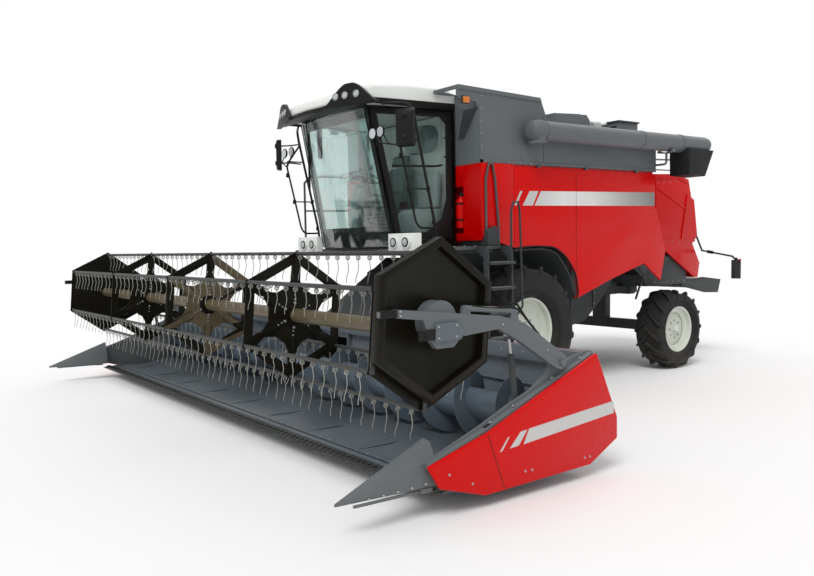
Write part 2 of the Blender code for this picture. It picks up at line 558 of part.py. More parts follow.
DECK_TOP = DECK_Z + DECK_T
floor = slab(plan(DECK_TOP, 0.0, GLASS_BOW - 0.01), "z", DECK_TOP + CLEAR, CAB_FLOOR_Z)
ring = slab(plan(CAB_ROOF_Z - 0.05, 0.0, GLASS_BOW - 0.01), "z", CAB_ROOF_Z - 0.05, CAB_ROOF_Z)
ring = cut(ring, slab(plan(CAB_ROOF_Z - 0.05, 0.07, GLASS_BOW - 0.01), "z", CAB_ROOF_Z - 0.2, CAB_ROOF_Z + 0.2))
p = POST
DOOR_REAR = CAB_REAR - 0.07
DOOR_HINGE, DOOR_HINGE_Z = (CAB_REAR_HALF + 0.018, DOOR_REAR + 0.012, 0), (2.35, 3.30)
post_low, post_top = CAB_FLOOR_Z - 0.03, CAB_ROOF_Z - 0.01
front_posts = both(slab([(front_y(post_low) + 0.003, post_low), (front_y(post_top) + 0.003, post_top),
                         (front_y(post_top) + p, post_top), (front_y(post_low) + p, post_low)],
                        "x", front_half(CAB_FLOOR_Z) - p, front_half(CAB_FLOOR_Z) - 0.002))
for post in front_posts:
    shear(post, lambda x, y, z: (math.copysign(1, x) * (front_half(z) - front_half(CAB_FLOOR_Z)), 0))
POST_OUT = side_x(CAB_REAR - p - 0.02) - 0.002
rear_posts = both(block((POST_OUT - p - 0.02, POST_OUT), (CAB_REAR - p - 0.02, CAB_REAR - 0.001),
                        (CAB_FLOOR_Z - 0.03, CAB_ROOF_Z - 0.01)))
rear_wall = block((-CAB_REAR_HALF + 0.02, CAB_REAR_HALF - 0.02), (CAB_REAR - 0.03, CAB_REAR - 0.002), (CAB_FLOOR_Z - 0.035, CAB_ROOF_Z - 0.012))
rear_window = block((-0.62, 0.62), (CAB_REAR - 0.1, CAB_REAR + 0.1), (2.75, 3.45))
cab = union(floor, ring, *front_posts, *rear_posts, rear_wall)
for z in DOOR_HINGE_Z:
    seat = union(bar((DOOR_HINGE[0], DOOR_HINGE[1], z - 0.05), (DOOR_HINGE[0], DOOR_HINGE[1], z), HINGE_R, sides=8),
                 block((POST_OUT - 0.01, DOOR_HINGE[0]), (DOOR_HINGE[1] - 0.007, DOOR_HINGE[1] + 0.007), (z - 0.045, z - 0.005)))
    cab = union(cab, seat)
cab = cut(cab, rear_window)

# The windscreen bows forward between the front posts and leans with them
screen = slab([(x, y - CAB_FRONT_LOW) for x, y in plan(CAB_FLOOR_Z, 0.0, GLASS_BOW, 8)[1:-1]]
              + [(x, y - CAB_FRONT_LOW - GLASS_T) for x, y in plan(CAB_FLOOR_Z, 0.0, GLASS_BOW, 8)[1:-1]][::-1],
              "z", CAB_FLOOR_Z - 0.06, CAB_ROOF_Z - 0.03)
screen = shear(screen, lambda x, y, z: (x * ((front_half(z) + GLASS_T) / front_half(CAB_FLOOR_Z) - 1), front_y(z) - CLEAR))


def side_wall(outline, t, out):
    """A piece of the cab's side, leaning with the wall, from out to out + t beyond it."""
    return shear(slab(outline, "x", out, out + t), lambda x, y, z: (side_x(y), 0))


DOOR_LOW, DOOR_TOP = CAB_FLOOR_Z + 0.02, CAB_ROOF_Z - 0.03
door_edge = [(front_y(DOOR_LOW) + 0.03, DOOR_LOW), (DOOR_REAR, DOOR_LOW), (DOOR_REAR, DOOR_TOP), (front_y(DOOR_TOP) + 0.03, DOOR_TOP)]
light = [(front_y(DOOR_LOW + 0.10) + 0.10, DOOR_LOW + 0.09), (DOOR_REAR - 0.35, DOOR_LOW + 0.09), (DOOR_REAR - 0.14, DOOR_LOW + 0.25),
         (DOOR_REAR - 0.07, DOOR_LOW + 0.50), (DOOR_REAR - 0.07, DOOR_TOP - 0.15), (DOOR_REAR - 0.15, DOOR_TOP - 0.07),
         (front_y(DOOR_TOP - 0.07) + 0.10, DOOR_TOP - 0.07)]
hx, hy = DOOR_HINGE[:2]
door = cut(side_wall(door_edge, 0.025, DOOR_GAP), side_wall(light, 0.2, -0.1))
for z in DOOR_HINGE_Z:
    knuckle = union(bar((hx, hy, z + CLEAR), (hx, hy, z + 0.05), HINGE_R, sides=8), block((hx - 0.006, hx + 0.006), (hy - 0.03, hy), (z + 0.005, z + 0.045)))
    door = union(door, knuckle)
part("cab_door", BLACK, door, DOOR_HINGE)
pane = side_wall(door_edge, GLASS_T, DOOR_GAP - GLASS_T - CLEAR)
part("door_glass", GLASS, pane, DOOR_HINGE)
right = moved(side_wall([(front_y(DOOR_LOW) - GLASS_T, DOOR_LOW), (CAB_REAR - 0.01, DOOR_LOW), (CAB_REAR - 0.01, DOOR_TOP),
                        (front_y(DOOR_TOP) - GLASS_T, DOOR_TOP)], GLASS_T, CLEAR), MIRROR)
part("cab_windows", GLASS, union(screen, right))

ROOF_EDGE = [(ROOF_HALF, -2.12), (0.70, -2.23), (0.365, -2.345), (0, -2.38)]
roof_plan = [(-ROOF_HALF, ROOF_REAR)] + [(-x, y) for x, y in ROOF_EDGE] + ROOF_EDGE[-2::-1] + [(ROOF_HALF, ROOF_REAR)]
roof = slab([(-2.5, CAB_ROOF_Z + CLEAR), (-2.5, 3.72), (-2.35, 3.76), (-2.05, 3.84), (-1.5, 3.88), (-0.90, 3.88),
             (ROOF_REAR - 0.03, 3.83), (ROOF_REAR, 3.70), (ROOF_REAR, CAB_ROOF_Z + CLEAR)], "x", -ROOF_HALF - 0.1, ROOF_HALF + 0.1)
part("cab_roof", WHITE, boolean(roof, [slab(roof_plan, "z", 3.5, 4.0)], "INTERSECT"))
# A black lip under the roof's front edge, with a hooded row of lamps at each corner
lip = slab([(x, y - 0.03) for x, y in roof_plan[1:-1]],
           "z", CAB_ROOF_Z - 0.045, CAB_ROOF_Z - CLEAR)
POD = Matrix.Translation((0.70, -2.236, 0)) @ Matrix.Rotation(math.radians(19), 4, "Z")
pod = slab([(-0.35, 3.60), (0.33, 3.60), (0.33, 3.69), (0.22, 3.75), (0.12, 3.84), (0, 3.87), (-0.12, 3.85), (-0.24, 3.77), (-0.35, 3.70)],
           "y", -0.05, -0.002)
pod_lamps = [bar((x, -0.07, 3.73), (x, -0.03, 3.73), 0.05, sides=12) for x in (-0.25, -0.10, 0.10)]
pod = moved(union(pod, *pod_lamps), POD)
peak = union(lip, *both(pod))


base = block((-0.24, 0.24), (-1.32, -0.95), (CAB_FLOOR_Z + CLEAR, 2.35))
cushion = block((-0.26, 0.26), (-1.48, -0.93), (2.33, 2.50))
back = slab([(-1.02, 2.45), (-0.88, 2.45), (-0.84, 3.12), (-0.93, 3.16)], "x", -0.25, 0.25)
part("seat", CLOTH, union(base, cushion, back))
column = bar((0, -1.62, CAB_FLOOR_Z - 0.03), (0, -1.62, 2.55), 0.05, sides=10)
stem = bar((0, -1.62, 2.52), (0, -1.50, 2.86), 0.03, sides=10)
hoop_axis = Vector((0, 0.12, 0.34)).normalized()
turn = Vector((0, 0, 1)).rotation_difference(hoop_axis).to_matrix()
ring_points = [Vector((0, -1.50, 2.86)) + turn @ Vector((0.20 * math.cos(a), 0.20 * math.sin(a), 0))
               for a in [2 * math.pi * k / 16 for k in range(16)]]
hoop = pipe(ring_points, 0.014, cyclic=True)
spokes = [bar(ring_points[0], ring_points[8], 0.012, sides=6)]
hub = bar(Vector((0, -1.50, 2.86)) - hoop_axis * 0.03, Vector((0, -1.50, 2.86)) + hoop_axis * 0.02, 0.045, sides=12)
part("cab_frame", BLACK, union(cab, union(union(union(column, stem), hub), hoop, *spokes)))

# Platform, lamps, rails and ladder
h, e = DECK_HALF, 0.55
deck = slab([(-h, DECK_FRONT), (h, DECK_FRONT), (h, DECK_REAR_Y), (e, DECK_REAR_Y), (e, BODY_FRONT - CLEAR), (-e, BODY_FRONT - CLEAR),
             (-e, DECK_REAR_Y), (-h, DECK_REAR_Y)], "z", DECK_Z, DECK_TOP)
apron = block((-1.30, 1.30), (DECK_FRONT - 0.02, DECK_FRONT + 0.02), (DECK_Z - 0.05, DECK_TOP - 0.01))
lamp_boxes = both(block((0.785, 1.28), (DECK_FRONT - 0.10, DECK_FRONT - 0.005), (1.907, 2.115)))
lamp_discs = both(bar((0.89, DECK_FRONT - 0.12, 2.01), (0.89, DECK_FRONT - 0.05, 2.01), 0.08, sides=12)) \
    + both(bar((1.13, DECK_FRONT - 0.12, 2.01), (1.13, DECK_FRONT - 0.05, 2.01), 0.08, sides=12))
rail_x = DECK_HALF - 0.05
left_rail = pipe([(rail_x, -0.75, DECK_Z + 0.01), (rail_x, -0.752, 2.75), (rail_x, -0.70, 2.93), (rail_x, -0.64, 2.93),
                  (rail_x, -0.598, 2.75), (rail_x, -0.54, 2.18), (rail_x, -0.54, DECK_Z + 0.01)], 0.016)
rail = pipe([(-rail_x, -1.55, DECK_Z + 0.01), (-rail_x, -1.55, 2.90), (-rail_x, -1.45, 3.0), (-rail_x, -0.70, 3.0),
             (-rail_x, -0.60, 2.90), (-rail_x, -0.60, DECK_Z + 0.01)], 0.016)
mid_rail = bar((-rail_x, -1.545, 2.5), (-rail_x, -0.605, 2.5), 0.012, sides=8)
treads = both(block((CAB_REAR_HALF + 0.06, h - 0.16), (-1.38, -0.95), (DECK_Z + 0.01, DECK_TOP + TREAD_T)))
platform = union(deck, apron, *lamp_boxes, *lamp_discs, *treads, left_rail, union(rail, mid_rail))
part("platform", DARK, platform)

# The ladder hooks on the deck's outer edge
lip_x = DECK_HALF + CLEAR
stringers = [slab([(LADDER_X - 0.035, STEP_LOW - 0.02), (LADDER_X + 0.045, STEP_LOW - 0.02), (LADDER_X + 0.035, DECK_Z - 0.04),
                   (LADDER_X, DECK_TOP), (lip_x, DECK_TOP), (lip_x, DECK_Z - 0.02), (LADDER_X - 0.035, DECK_Z - 0.10)],
                  "y", LADDER_Y + side * LADDER_W / 2 - 0.012, LADDER_Y + side * LADDER_W / 2 + 0.012) for side in (-1, 1)]
steps = [block((LADDER_X - 0.06, LADDER_X + 0.09), (LADDER_Y - LADDER_W / 2, LADDER_Y + LADDER_W / 2),
               (STEP_LOW + STEP_RISE * k, STEP_LOW + 0.03 + STEP_RISE * k)) for k in range(STEPS)]
lx, y0 = LADDER_X + 0.02, LADDER_Y + LADDER_W / 2
loop = pipe([(lx, y0, 1.45), (lx, y0, 2.35), (lx, y0 + 0.04, 2.46), (lx, y0 + 0.12, 2.46), (lx, y0 + 0.15, 2.35),
             (lx, y0 + 0.19, 1.20), (lx, y0 + 0.10, 1.10), (lx, y0, 1.12)], 0.014)
part("ladder", DARK, union(stringers[0], stringers[1], *steps, loop))

# Mirrors on arms from the roof's front corners
arm = pipe([(ROOF_HALF - 0.06, -2.165, CAB_ROOF_Z - 0.02), (1.20, -2.15, CAB_ROOF_Z - 0.04),
            (1.45, -2.10, CAB_ROOF_Z - 0.10), (1.45, -2.10, 3.10)], 0.016)
glass = block((1.34, 1.56), (-2.14, -2.06), (3.06, 3.50))
part("roof_lamp_panel", BLACK, union(peak, *both(union(arm, glass))))


# Feeder house with its lift cylinders
fy, fz = FEEDER_PIVOT
ey, ez = LIFT_EYE
feeder = slab([(FEEDER_MOUTH, 0.27), (FEEDER_MOUTH, 0.90), (fy - 0.16, fz + 0.18), (fy + 0.07, fz + 0.10), (fy + 0.12, fz - 0.32),
               (fy - 0.13, fz - 0.55)], "x", -FEEDER_HALF, FEEDER_HALF)
channel = slab([(FEEDER_MOUTH - 0.1, 0.30), (FEEDER_MOUTH - 0.1, 0.87), (FEEDER_MOUTH, 0.87), (-1.25, 1.37), (-1.25, 0.80), (FEEDER_MOUTH, 0.30)],
               "x", -FEEDER_HALF + FEEDER_WALL, FEEDER_HALF - FEEDER_WALL)
feeder = cut(feeder, channel)
pins = bar((-LUG_X - 0.03, fy, fz), (LUG_X + 0.03, fy, fz), FEEDER_PIN_R, sides=16)
eye_lugs = []
for x in (LIFT_X - 0.06, LIFT_X + 0.04):
    eye_lugs += both(slab([(ey - 0.05, ez - 0.03), (ey - 0.10, ez + 0.25), (ey + 0.14, ez + 0.35), (ey + 0.04, ez - 0.03)],
                          "x", x, x + 0.02))
eye_pins = both(bar((LIFT_X - 0.05, ey, ez), (LIFT_X + 0.05, ey, ez), LIFT_PIN_R, sides=12))
part("feeder_house", DARK, union(feeder, pins, *eye_lugs, *eye_pins), (0, fy, fz))


def cylinder(name, x, base, eye, barrel_r, rod_r, pin_r, eye_free, barrel_l, width, retract, mat, rod_mat):
    """A hydraulic cylinder: a bored barrel that turns on the base pin, and a rod whose eye hangs free round its pin."""
    b, e = Vector((x, *base)), Vector((x, *eye))
    along = (e - b).normalized()
    lug = bar(b - Vector((width, 0, 0)), b + Vector((width, 0, 0)), pin_r + 0.025, sides=16)
    tube = bar(b, b + along * barrel_l, barrel_r, sides=16)
    barrel = union(lug, tube)
    barrel = cut(barrel, bar(b - Vector((1, 0, 0)) * 0.2, b + Vector((1, 0, 0)) * 0.2, pin_r + PIN_FREE, sides=16))
    barrel = cut(barrel, bar(b + along * (pin_r + 0.06), b + along * (barrel_l + 0.1), rod_r + PIN_FREE, sides=16))
    pair(name + "_barrel", mat, barrel, (x, *base))
    ring = bar(e - Vector((width, 0, 0)), e + Vector((width, 0, 0)), pin_r + eye_free + 0.02, sides=16)
    rod = bar(b + along * (pin_r + 0.066 + retract), e - along * (pin_r + eye_free + 0.003), rod_r, sides=16)
    rod = cut(union(ring, rod), bar(e - Vector((1, 0, 0)) * 0.2, e + Vector((1, 0, 0)) * 0.2, pin_r + eye_free, sides=16))
    pair(name + "_rod", rod_mat, rod, (x, *eye))


cylinder("header_lift", LIFT_X, LIFT_BASE, LIFT_EYE, LIFT_BARREL_R, LIFT_ROD_R, LIFT_PIN_R, 0.008, 0.80, 0.034, 0.02, DARK, STEEL)

# Header table
ay, az = AUGER_Y, AUGER_Z
TROUGH_R = AUGER_R + 0.035
arc = [(ay + TROUGH_R * math.sin(a), az - TROUGH_R * math.cos(a))
       for a in [math.radians(d) for d in (-28, -10, 10, 30, 50, 70, 90)]]
profile = [(KNIFE_Y + 0.02, KNIFE_Z), (-3.2, KNIFE_Z - 0.02)] + arc + [(HEAD_BACK_Y - 0.03, 0.80), (HEAD_BACK_Y - 0.02, HEAD_TOP_Z)]
SHEET_HALF = HEAD_HALF - END_T - END_SHEET - 3 * CLEAR
table = slab(sheet(profile, SHEET), "x", -SHEET_HALF, SHEET_HALF)
back = [block((-SHEET_HALF, SHEET_HALF), (HEAD_BACK_Y - 0.08, HEAD_BACK_Y + 0.03), (HEAD_TOP_Z - 0.10, HEAD_TOP_Z + 0.03)),
        block((-SHEET_HALF, SHEET_HALF), (HEAD_BACK_Y - 0.10, HEAD_BACK_Y), (0.17, 0.25))]
posts = [block((x - 0.05, x + 0.05), (HEAD_BACK_Y - 0.02, HEAD_BACK_Y + 0.02), (0.2, HEAD_TOP_Z)) for x in (-0.62, 0.62, -2.2, 2.2, -3.7, 3.7)]
neck = block((-FEEDER_HALF - 0.01, FEEDER_HALF + 0.01), (HEAD_BACK_Y - 0.075, HEAD_BACK_Y + 0.028), (0.262, 0.93))
mouth = block((-FEEDER_HALF + FEEDER_WALL, FEEDER_HALF - FEEDER_WALL), (HEAD_BACK_Y - 0.2, HEAD_BACK_Y + 0.2), (0.30, 0.87))
part("header_table", GREY, cut(union(table, *back, *posts, neck), mouth), (0, fy, fz))

end_line = [(-2.105, 1.048), (-1.831, 0.47), (-1.83, 0.284), (-2.19, 0.115), (-3.409, 0.099), (-3.86, 0.235), (-3.977, 0.414), (-3.383, 0.571)]
def snout(x):
    """A folded crop divider: a six-sided section at its rear that draws in to a point."""
    rear, deep = -3.83, FRONT_TIP + 3.83
    section = [(-0.10, 0.235), (-0.085, 0.42), (-0.03, 0.565), (0.05, 0.55), (0.098, 0.44), (0.10, 0.235)]
    nose = moved(slab([(a + x, b) for a, b in section], "y", rear + deep, rear), Matrix.Identity(4))
    for vert in nose.data.vertices:
        if vert.co.y < rear + deep / 2:
            vert.co.x += (x + 0.05 - vert.co.x) * 0.94
            vert.co.z += (0.243 - vert.co.z) * 0.94
    return nose


cover = slab(end_line, "x", HEAD_HALF - COVER_T, HEAD_HALF)
pair("header_end_cover", RED, cover)
py, pz = ARM_PIVOT
rb, re_ = REEL_LIFT_BASE, REEL_LIFT_EYE
inner_line = [(-2.09, 1.06), (-1.90, 0.47), (-1.90, 0.284), (-2.20, 0.125), (-3.409, 0.110), (-3.84, 0.245), (-3.95, 0.414),
              (-3.40, 0.60), (rb[0] - 0.10, 0.745), (rb[0] + 0.10, 0.81),
              (py - 0.12, 0.92), (py - 0.06, pz), (py, pz + 0.06), (py + 0.06, pz), (py + 0.12, 1.0), (py + 0.2, 1.03)]
OUT = HEAD_HALF - END_T - CLEAR
end = slab(inner_line, "x", OUT - END_SHEET, OUT)
end = cut(end, bar((OUT - 0.2, ay, az), (OUT + 0.2, ay, az), AUGER_PIN_R + PIN_FREE, sides=16))
pivot = bar((OUT - 0.01, py, pz), (ARM_X + ARM_T / 2 + 0.02, py, pz), ARM_PIN_R, sides=16)
lift_pin = bar((OUT - 0.01, *rb), (REEL_LIFT_X - 0.03, *rb), REEL_LIFT_PIN_R, sides=12)
nose = snout(OUT - 0.105)
flange = slab([(-3.93, 0.42), (-3.385, 0.585), (-2.12, 1.05), (-2.11, 1.00), (-3.37, 0.53), (-3.93, 0.37)], "x", OUT - 0.004, HEAD_HALF - COVER_T - CLEAR)
lower = slab([(-3.80, 0.235), (-3.41, 0.115), (-2.20, 0.13), (-2.20, 0.17), (-3.40, 0.16), (-3.80, 0.275)], "x", OUT - 0.004, HEAD_HALF - COVER_T - CLEAR)
end = union(end, flange, lower, pivot, lift_pin, nose)
pair("divider_side", GREY, end)

bar_y = KNIFE_Y + 0.0189
knife = block((-SHEET_HALF, SHEET_HALF), (bar_y - 0.06, bar_y), (KNIFE_Z - 0.022, KNIFE_Z + 0.002))
count = int(2 * (SHEET_HALF - 0.05) / GUARD_PITCH)
guards = [bar((GUARD_PITCH * (k - count / 2), bar_y - 0.05, KNIFE_Z - 0.01), (GUARD_PITCH * (k - count / 2), bar_y - GUARD_L - 0.05, KNIFE_Z - 0.015),
              0.016, sides=4, r2=0, spin=math.radians(45)) for k in range(count + 1)]
part("knife_bar", STEEL, weld(knife, guards))

# Header auger: two helical flights that feed to the middle
def flight(x0, x1, pitch, inner, outer, t, start, per_turn):
    """A helical strip round the X axis from x0 to x1."""
    n = max(2, int(abs(x1 - x0) / abs(pitch) * per_turn))
    bm = bmesh.new()
    rings = []
    for k in range(n + 1):
        x = x0 + (x1 - x0) * k / n
        a = start + 2 * math.pi * (x - x0) / pitch
        rings.append([bm.verts.new((x + dx, -r * math.sin(a), r * math.cos(a)))
                      for dx, r in ((-t / 2, inner), (-t / 2, outer), (t / 2, outer), (t / 2, inner))])
    # both broad faces are split along the same diagonal, so the twisted strip keeps its thickness
    for a, b in zip(rings, rings[1:]):
        for i, slanted in ((0, True), (1, True), (2, False), (3, True)):
            j = (i + 1) % 4
            if slanted:
                bm.faces.new((a[i], a[j], b[j]))
                bm.faces.new((a[i], b[j], b[i]))
            else:
                bm.faces.new((a[i], a[j], b[i]))
                bm.faces.new((a[j], b[j], b[i]))
    bm.faces.new(rings[0])
    bm.faces.new(rings[-1][::-1])
    bmesh.ops.recalc_face_normals(bm, faces=bm.faces)
    if bm.calc_volume(signed=True) < 0:
        bmesh.ops.reverse_faces(bm, faces=bm.faces)
    mesh = bpy.data.meshes.new("flight")
    bm.to_mesh(mesh)
    bm.free()
    return keep(mesh)


AUGER_HALF = SHEET_HALF - 0.06
core = bar((-AUGER_HALF, 0, 0), (AUGER_HALF, 0, 0), AUGER_CORE_R, sides=8)
left = flight(0.45, AUGER_HALF - 0.02, AUGER_PITCH, AUGER_CORE_R - 0.02, AUGER_R, 0.01, 0, 8)
right = flight(-0.45, -AUGER_HALF + 0.02, -AUGER_PITCH, AUGER_CORE_R - 0.02, AUGER_R, 0.01, 0, 8)
stub = bar((-OUT + 0.002, 0, 0), (OUT - 0.002, 0, 0), AUGER_PIN_R, sides=12)
fingers = [bar((x, 0.08 * math.cos(a), 0.08 * math.sin(a)), (x, 0.29 * math.cos(a), 0.29 * math.sin(a)), 0.008, sides=6)
           for x, a in [(-0.36 + 0.12 * k, 2.1 * k) for k in range(7)]]
auger = union(union(union(union(core, stub), left), right), *fingers)
part("header_auger", GREY, moved(auger, at(0, ay, az)), (0, ay, az))

# Reel arms, pinned on the end sheets and held up by their own cylinders
arm_low, arm_high = ARM_X - ARM_T / 2, ARM_X + ARM_T / 2
cy, cz = REEL_Y, REEL_Z + CAM_OFFSET
arm = slab([(-4.22, 1.49), (-4.22, 1.55), (-3.21, 1.435), (-2.95, 1.36), (py + 0.05, pz + 0.05), (py + 0.06, pz - 0.02), (py, pz - 0.06), (py - 0.08, pz - 0.03),
            (-3.02, 1.23), (-3.24, 1.34), (cy + 0.16, cz - 0.12), (cy + 0.08, cz - 0.19), (cy - 0.08, cz - 0.19), (cy - 0.16, cz - 0.1), (cy - 0.2, 1.46)], "x", arm_low, arm_high)
arm = cut(arm, bar((3, py, pz), (5, py, pz), ARM_PIN_R + PIN_FREE, sides=16))
eye_pin = bar((arm_low + 0.01, *re_), (REEL_LIFT_X - 0.03, *re_), REEL_LIFT_PIN_R, sides=12)


def arm_fittings(side):
    """The slide's inner tube in front, the reel shift cylinder on top, and its bracket."""
    low, high = sorted((side * (arm_low + 0.008), side * (arm_high - 0.008)))
    tube = slab([(-4.36, 1.501), (-4.36, 1.541), (-4.20, 1.541), (-4.20, 1.501)], "x", low, high)
    lugs = [slab([(y - 0.05, top - 0.06), (y - 0.03, top + 0.06), (y + 0.03, top + 0.06), (y + 0.05, top - 0.08)], "x", low, high)
            for y, top in ((-3.56, 1.47), (-3.06, 1.42))]
    shift = bar((side * ARM_X, -3.585, 1.517), (side * ARM_X, -3.035, 1.462), 0.024, sides=10)
    return tube, *lugs, shift



eccentric = bar((CAM_X - 0.008, cy, cz), (arm_low + 0.01, cy, cz), CAM_HUB_R, sides=20)
left_arm = union(arm, eccentric, eye_pin)
left_arm = cut(left_arm, bar((3, REEL_Y, REEL_Z), (5, REEL_Y, REEL_Z), STUB_R + PIN_FREE, sides=16))
part("reel_arm_left", GREY, union(left_arm, *arm_fittings(1)), (ARM_X, py, pz))
right_arm = slab([(-4.22, 1.49), (-4.22, 1.55), (-3.21, 1.435), (-2.95, 1.36), (py + 0.05, pz + 0.05), (py + 0.06, pz - 0.02), (py, pz - 0.06), (py - 0.08, pz - 0.03),
                  (-3.02, 1.23), (-3.24, 1.34), (cy + 0.12, cz - 0.12), (cy + 0.08, cz - 0.19), (cy - 0.08, cz - 0.19), (cy - 0.16, cz - 0.1), (cy - 0.2, 1.46)],
                 "x", -arm_high, -arm_low)
right_arm = union(right_arm, bar((-arm_low - 0.01, *re_), (-REEL_LIFT_X + 0.03, *re_), REEL_LIFT_PIN_R, sides=12))
right_arm = cut(right_arm, bar((-5, py, pz), (-3, py, pz), ARM_PIN_R + PIN_FREE, sides=16))
right_arm = cut(right_arm, bar((-5, REEL_Y, REEL_Z), (-3, REEL_Y, REEL_Z), STUB_R + PIN_FREE, sides=16))
part("reel_arm_right", GREY, union(right_arm, *arm_fittings(-1)), (-ARM_X, py, pz))

cylinder("reel_lift", REEL_LIFT_X, REEL_LIFT_BASE, REEL_LIFT_EYE, 0.026, 0.013, REEL_LIFT_PIN_R, 0.006, 0.41, 0.016, 0.07, DARK, STEEL)

# Reel: a shaft with spiders, six tine bars that stay upright, and the offset plate that keeps them so
spots = []
for k in range(6):
    a = math.radians(90 + 60 * k + REEL_TURN)
    spots.append((REEL_R * math.cos(a), REEL_R * math.sin(a)))
shaft = bar((-REEL_HALF - 0.05, 0, 0), (REEL_HALF + 0.01, 0, 0), SHAFT_R, sides=12)
stubs = bar((-arm_high - 0.01, 0, 0), (arm_high + 0.01, 0, 0), STUB_R, sides=16)


def spoke_frame(k):
    a = math.radians(90 + 60 * k + REEL_TURN)
    return Vector((math.cos(a), math.sin(a))), Vector((-math.sin(a), math.cos(a)))


def star(x):
    """A spider: a six-sided plate with a boss round each tine bar and a round-bottomed window between its arms."""
    outline, windows = [], []
    inner = REEL_R * math.cos(math.pi / 6) - 0.073
    for k in range(6):
        u, v = spoke_frame(k)
        outline += [tuple(u * along + v * side) for along, side in ((REEL_R + 0.004, -0.03), (REEL_R + 0.034, 0.0), (REEL_R + 0.004, 0.03))]
        u, v = spoke_frame(k + 0.5)
        half, deep = inner * math.tan(math.pi / 6) - 0.052, inner - SPIDER_HUB_R
        windows.append([tuple(u * (inner - deep * math.sin(t)) + v * (half * math.cos(t)))
                        for t in [math.pi * i / 5 for i in range(6)]])
    plate = slab(outline, "x", x - SPIDER_T / 2, x + SPIDER_T / 2)
    return cut(plate, *[slab(window, "x", x - SPIDER_T, x + SPIDER_T) for window in windows])


stars = [star(x) for x in (-REEL_HALF / 2, 0, REEL_HALF / 2, REEL_HALF)]
plate = slab([(r * 1.07, q * 1.07) for r, q in spots], "x", -REEL_HALF - SPIDER_T / 2, -REEL_HALF + SPIDER_T / 2)
reel = union(shaft, stubs, plate, *stars)
reel = cut(reel, *[bar((-4, y, z), (4, y, z), (BAR_R + CLEAR) / math.cos(math.pi / 6), sides=6) for y, z in spots])
part("reel_frame", BLACK, moved(reel, at(0, REEL_Y, REEL_Z)), (0, REEL_Y, REEL_Z))

tine_n = int(2 * (REEL_HALF - 0.06) / TINE_PITCH)
for k, (y, z) in enumerate(spots):
    y, z = REEL_Y + y, REEL_Z + z
    rod = bar((-REEL_HALF - 0.02, y, z), (CAM_X - 0.014, y, z), BAR_R, sides=8, spin=math.radians(22.5))
    tines = []
    for j in range(tine_n + 1):
        x = TINE_PITCH * (j - tine_n / 2)
        if min(abs(x - s) for s in (-REEL_HALF / 2, 0, REEL_HALF / 2)) < 0.03:
            x += 0.045
        tines.append(bar((x, y, z - 0.005), (x, y - 0.03, z - TINE_L), TINE_R, sides=3, r2=0))
    crank = slab([(y - 0.02, z - 0.012), (y + 0.02, z - 0.012), (y + 0.014, z + CAM_OFFSET + 0.012), (y - 0.014, z + CAM_OFFSET + 0.012)],
                 "x", CAM_X - 0.022, CAM_X - 0.014 + 0.004)
    crank_pin = bar((CAM_X - 0.016, y, z + CAM_OFFSET), (CAM_X + 0.010, y, z + CAM_OFFSET), CRANK_R, sides=10)
    part("tine_bar_%d" % (k + 1), BLACK, union(weld(rod, tines), crank, crank_pin), (0, y, z))

outer = [(y * 1.05, z * 1.05) for y, z in spots]
dish = slab(outer, "x", CAM_X - 0.004, CAM_X + 0.075)
dish = cut(dish, slab([(y * 0.93, z * 0.93) for y, z in spots], "x", CAM_X + 0.004, CAM_X + 0.2))
dish = cut(dish, bar((3, 0, 0), (5, 0, 0), (CAM_HUB_R + 2 * CLEAR) / math.cos(math.pi / 20), sides=20, spin=math.pi / 20))
dish = cut(dish, *[bar((3, y, z), (CAM_X + 0.02, y, z), CRANK_R + PIN_FREE, sides=10) for y, z in spots])
part("reel_control_plate", BLACK, moved(dish, at(0, cy, cz)), (0, cy, cz))
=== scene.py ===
"""A combine harvester with a wide grain header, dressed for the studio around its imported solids.

Metres, +Z up, the header towards -Y and the driver's ladder towards +X. The origin is the middle of the
footprint on the ground. Every section below is one piece of the machine, or a group of like pieces."""

import math

import bmesh
import bpy
from mathutils import Euler, Matrix, Vector


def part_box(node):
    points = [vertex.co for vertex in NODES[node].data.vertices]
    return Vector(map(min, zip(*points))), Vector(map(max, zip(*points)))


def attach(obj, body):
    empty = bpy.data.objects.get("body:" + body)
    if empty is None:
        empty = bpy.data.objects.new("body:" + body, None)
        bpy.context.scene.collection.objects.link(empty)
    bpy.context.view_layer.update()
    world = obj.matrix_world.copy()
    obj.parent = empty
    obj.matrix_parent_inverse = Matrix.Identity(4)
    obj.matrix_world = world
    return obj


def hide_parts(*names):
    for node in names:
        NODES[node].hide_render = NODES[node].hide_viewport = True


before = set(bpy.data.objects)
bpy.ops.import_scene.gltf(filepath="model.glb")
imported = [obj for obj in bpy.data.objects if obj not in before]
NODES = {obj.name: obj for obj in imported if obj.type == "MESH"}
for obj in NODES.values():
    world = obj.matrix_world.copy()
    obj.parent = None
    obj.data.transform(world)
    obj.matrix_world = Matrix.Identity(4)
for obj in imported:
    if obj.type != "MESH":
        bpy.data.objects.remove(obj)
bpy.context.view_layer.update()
scene = bpy.context.scene
scene.view_settings.view_transform = "Standard"


def in_scene(name, data):
    """A new object in the scene."""
    piece = bpy.data.objects.new(name, data)
    scene.collection.objects.link(piece)
    return piece


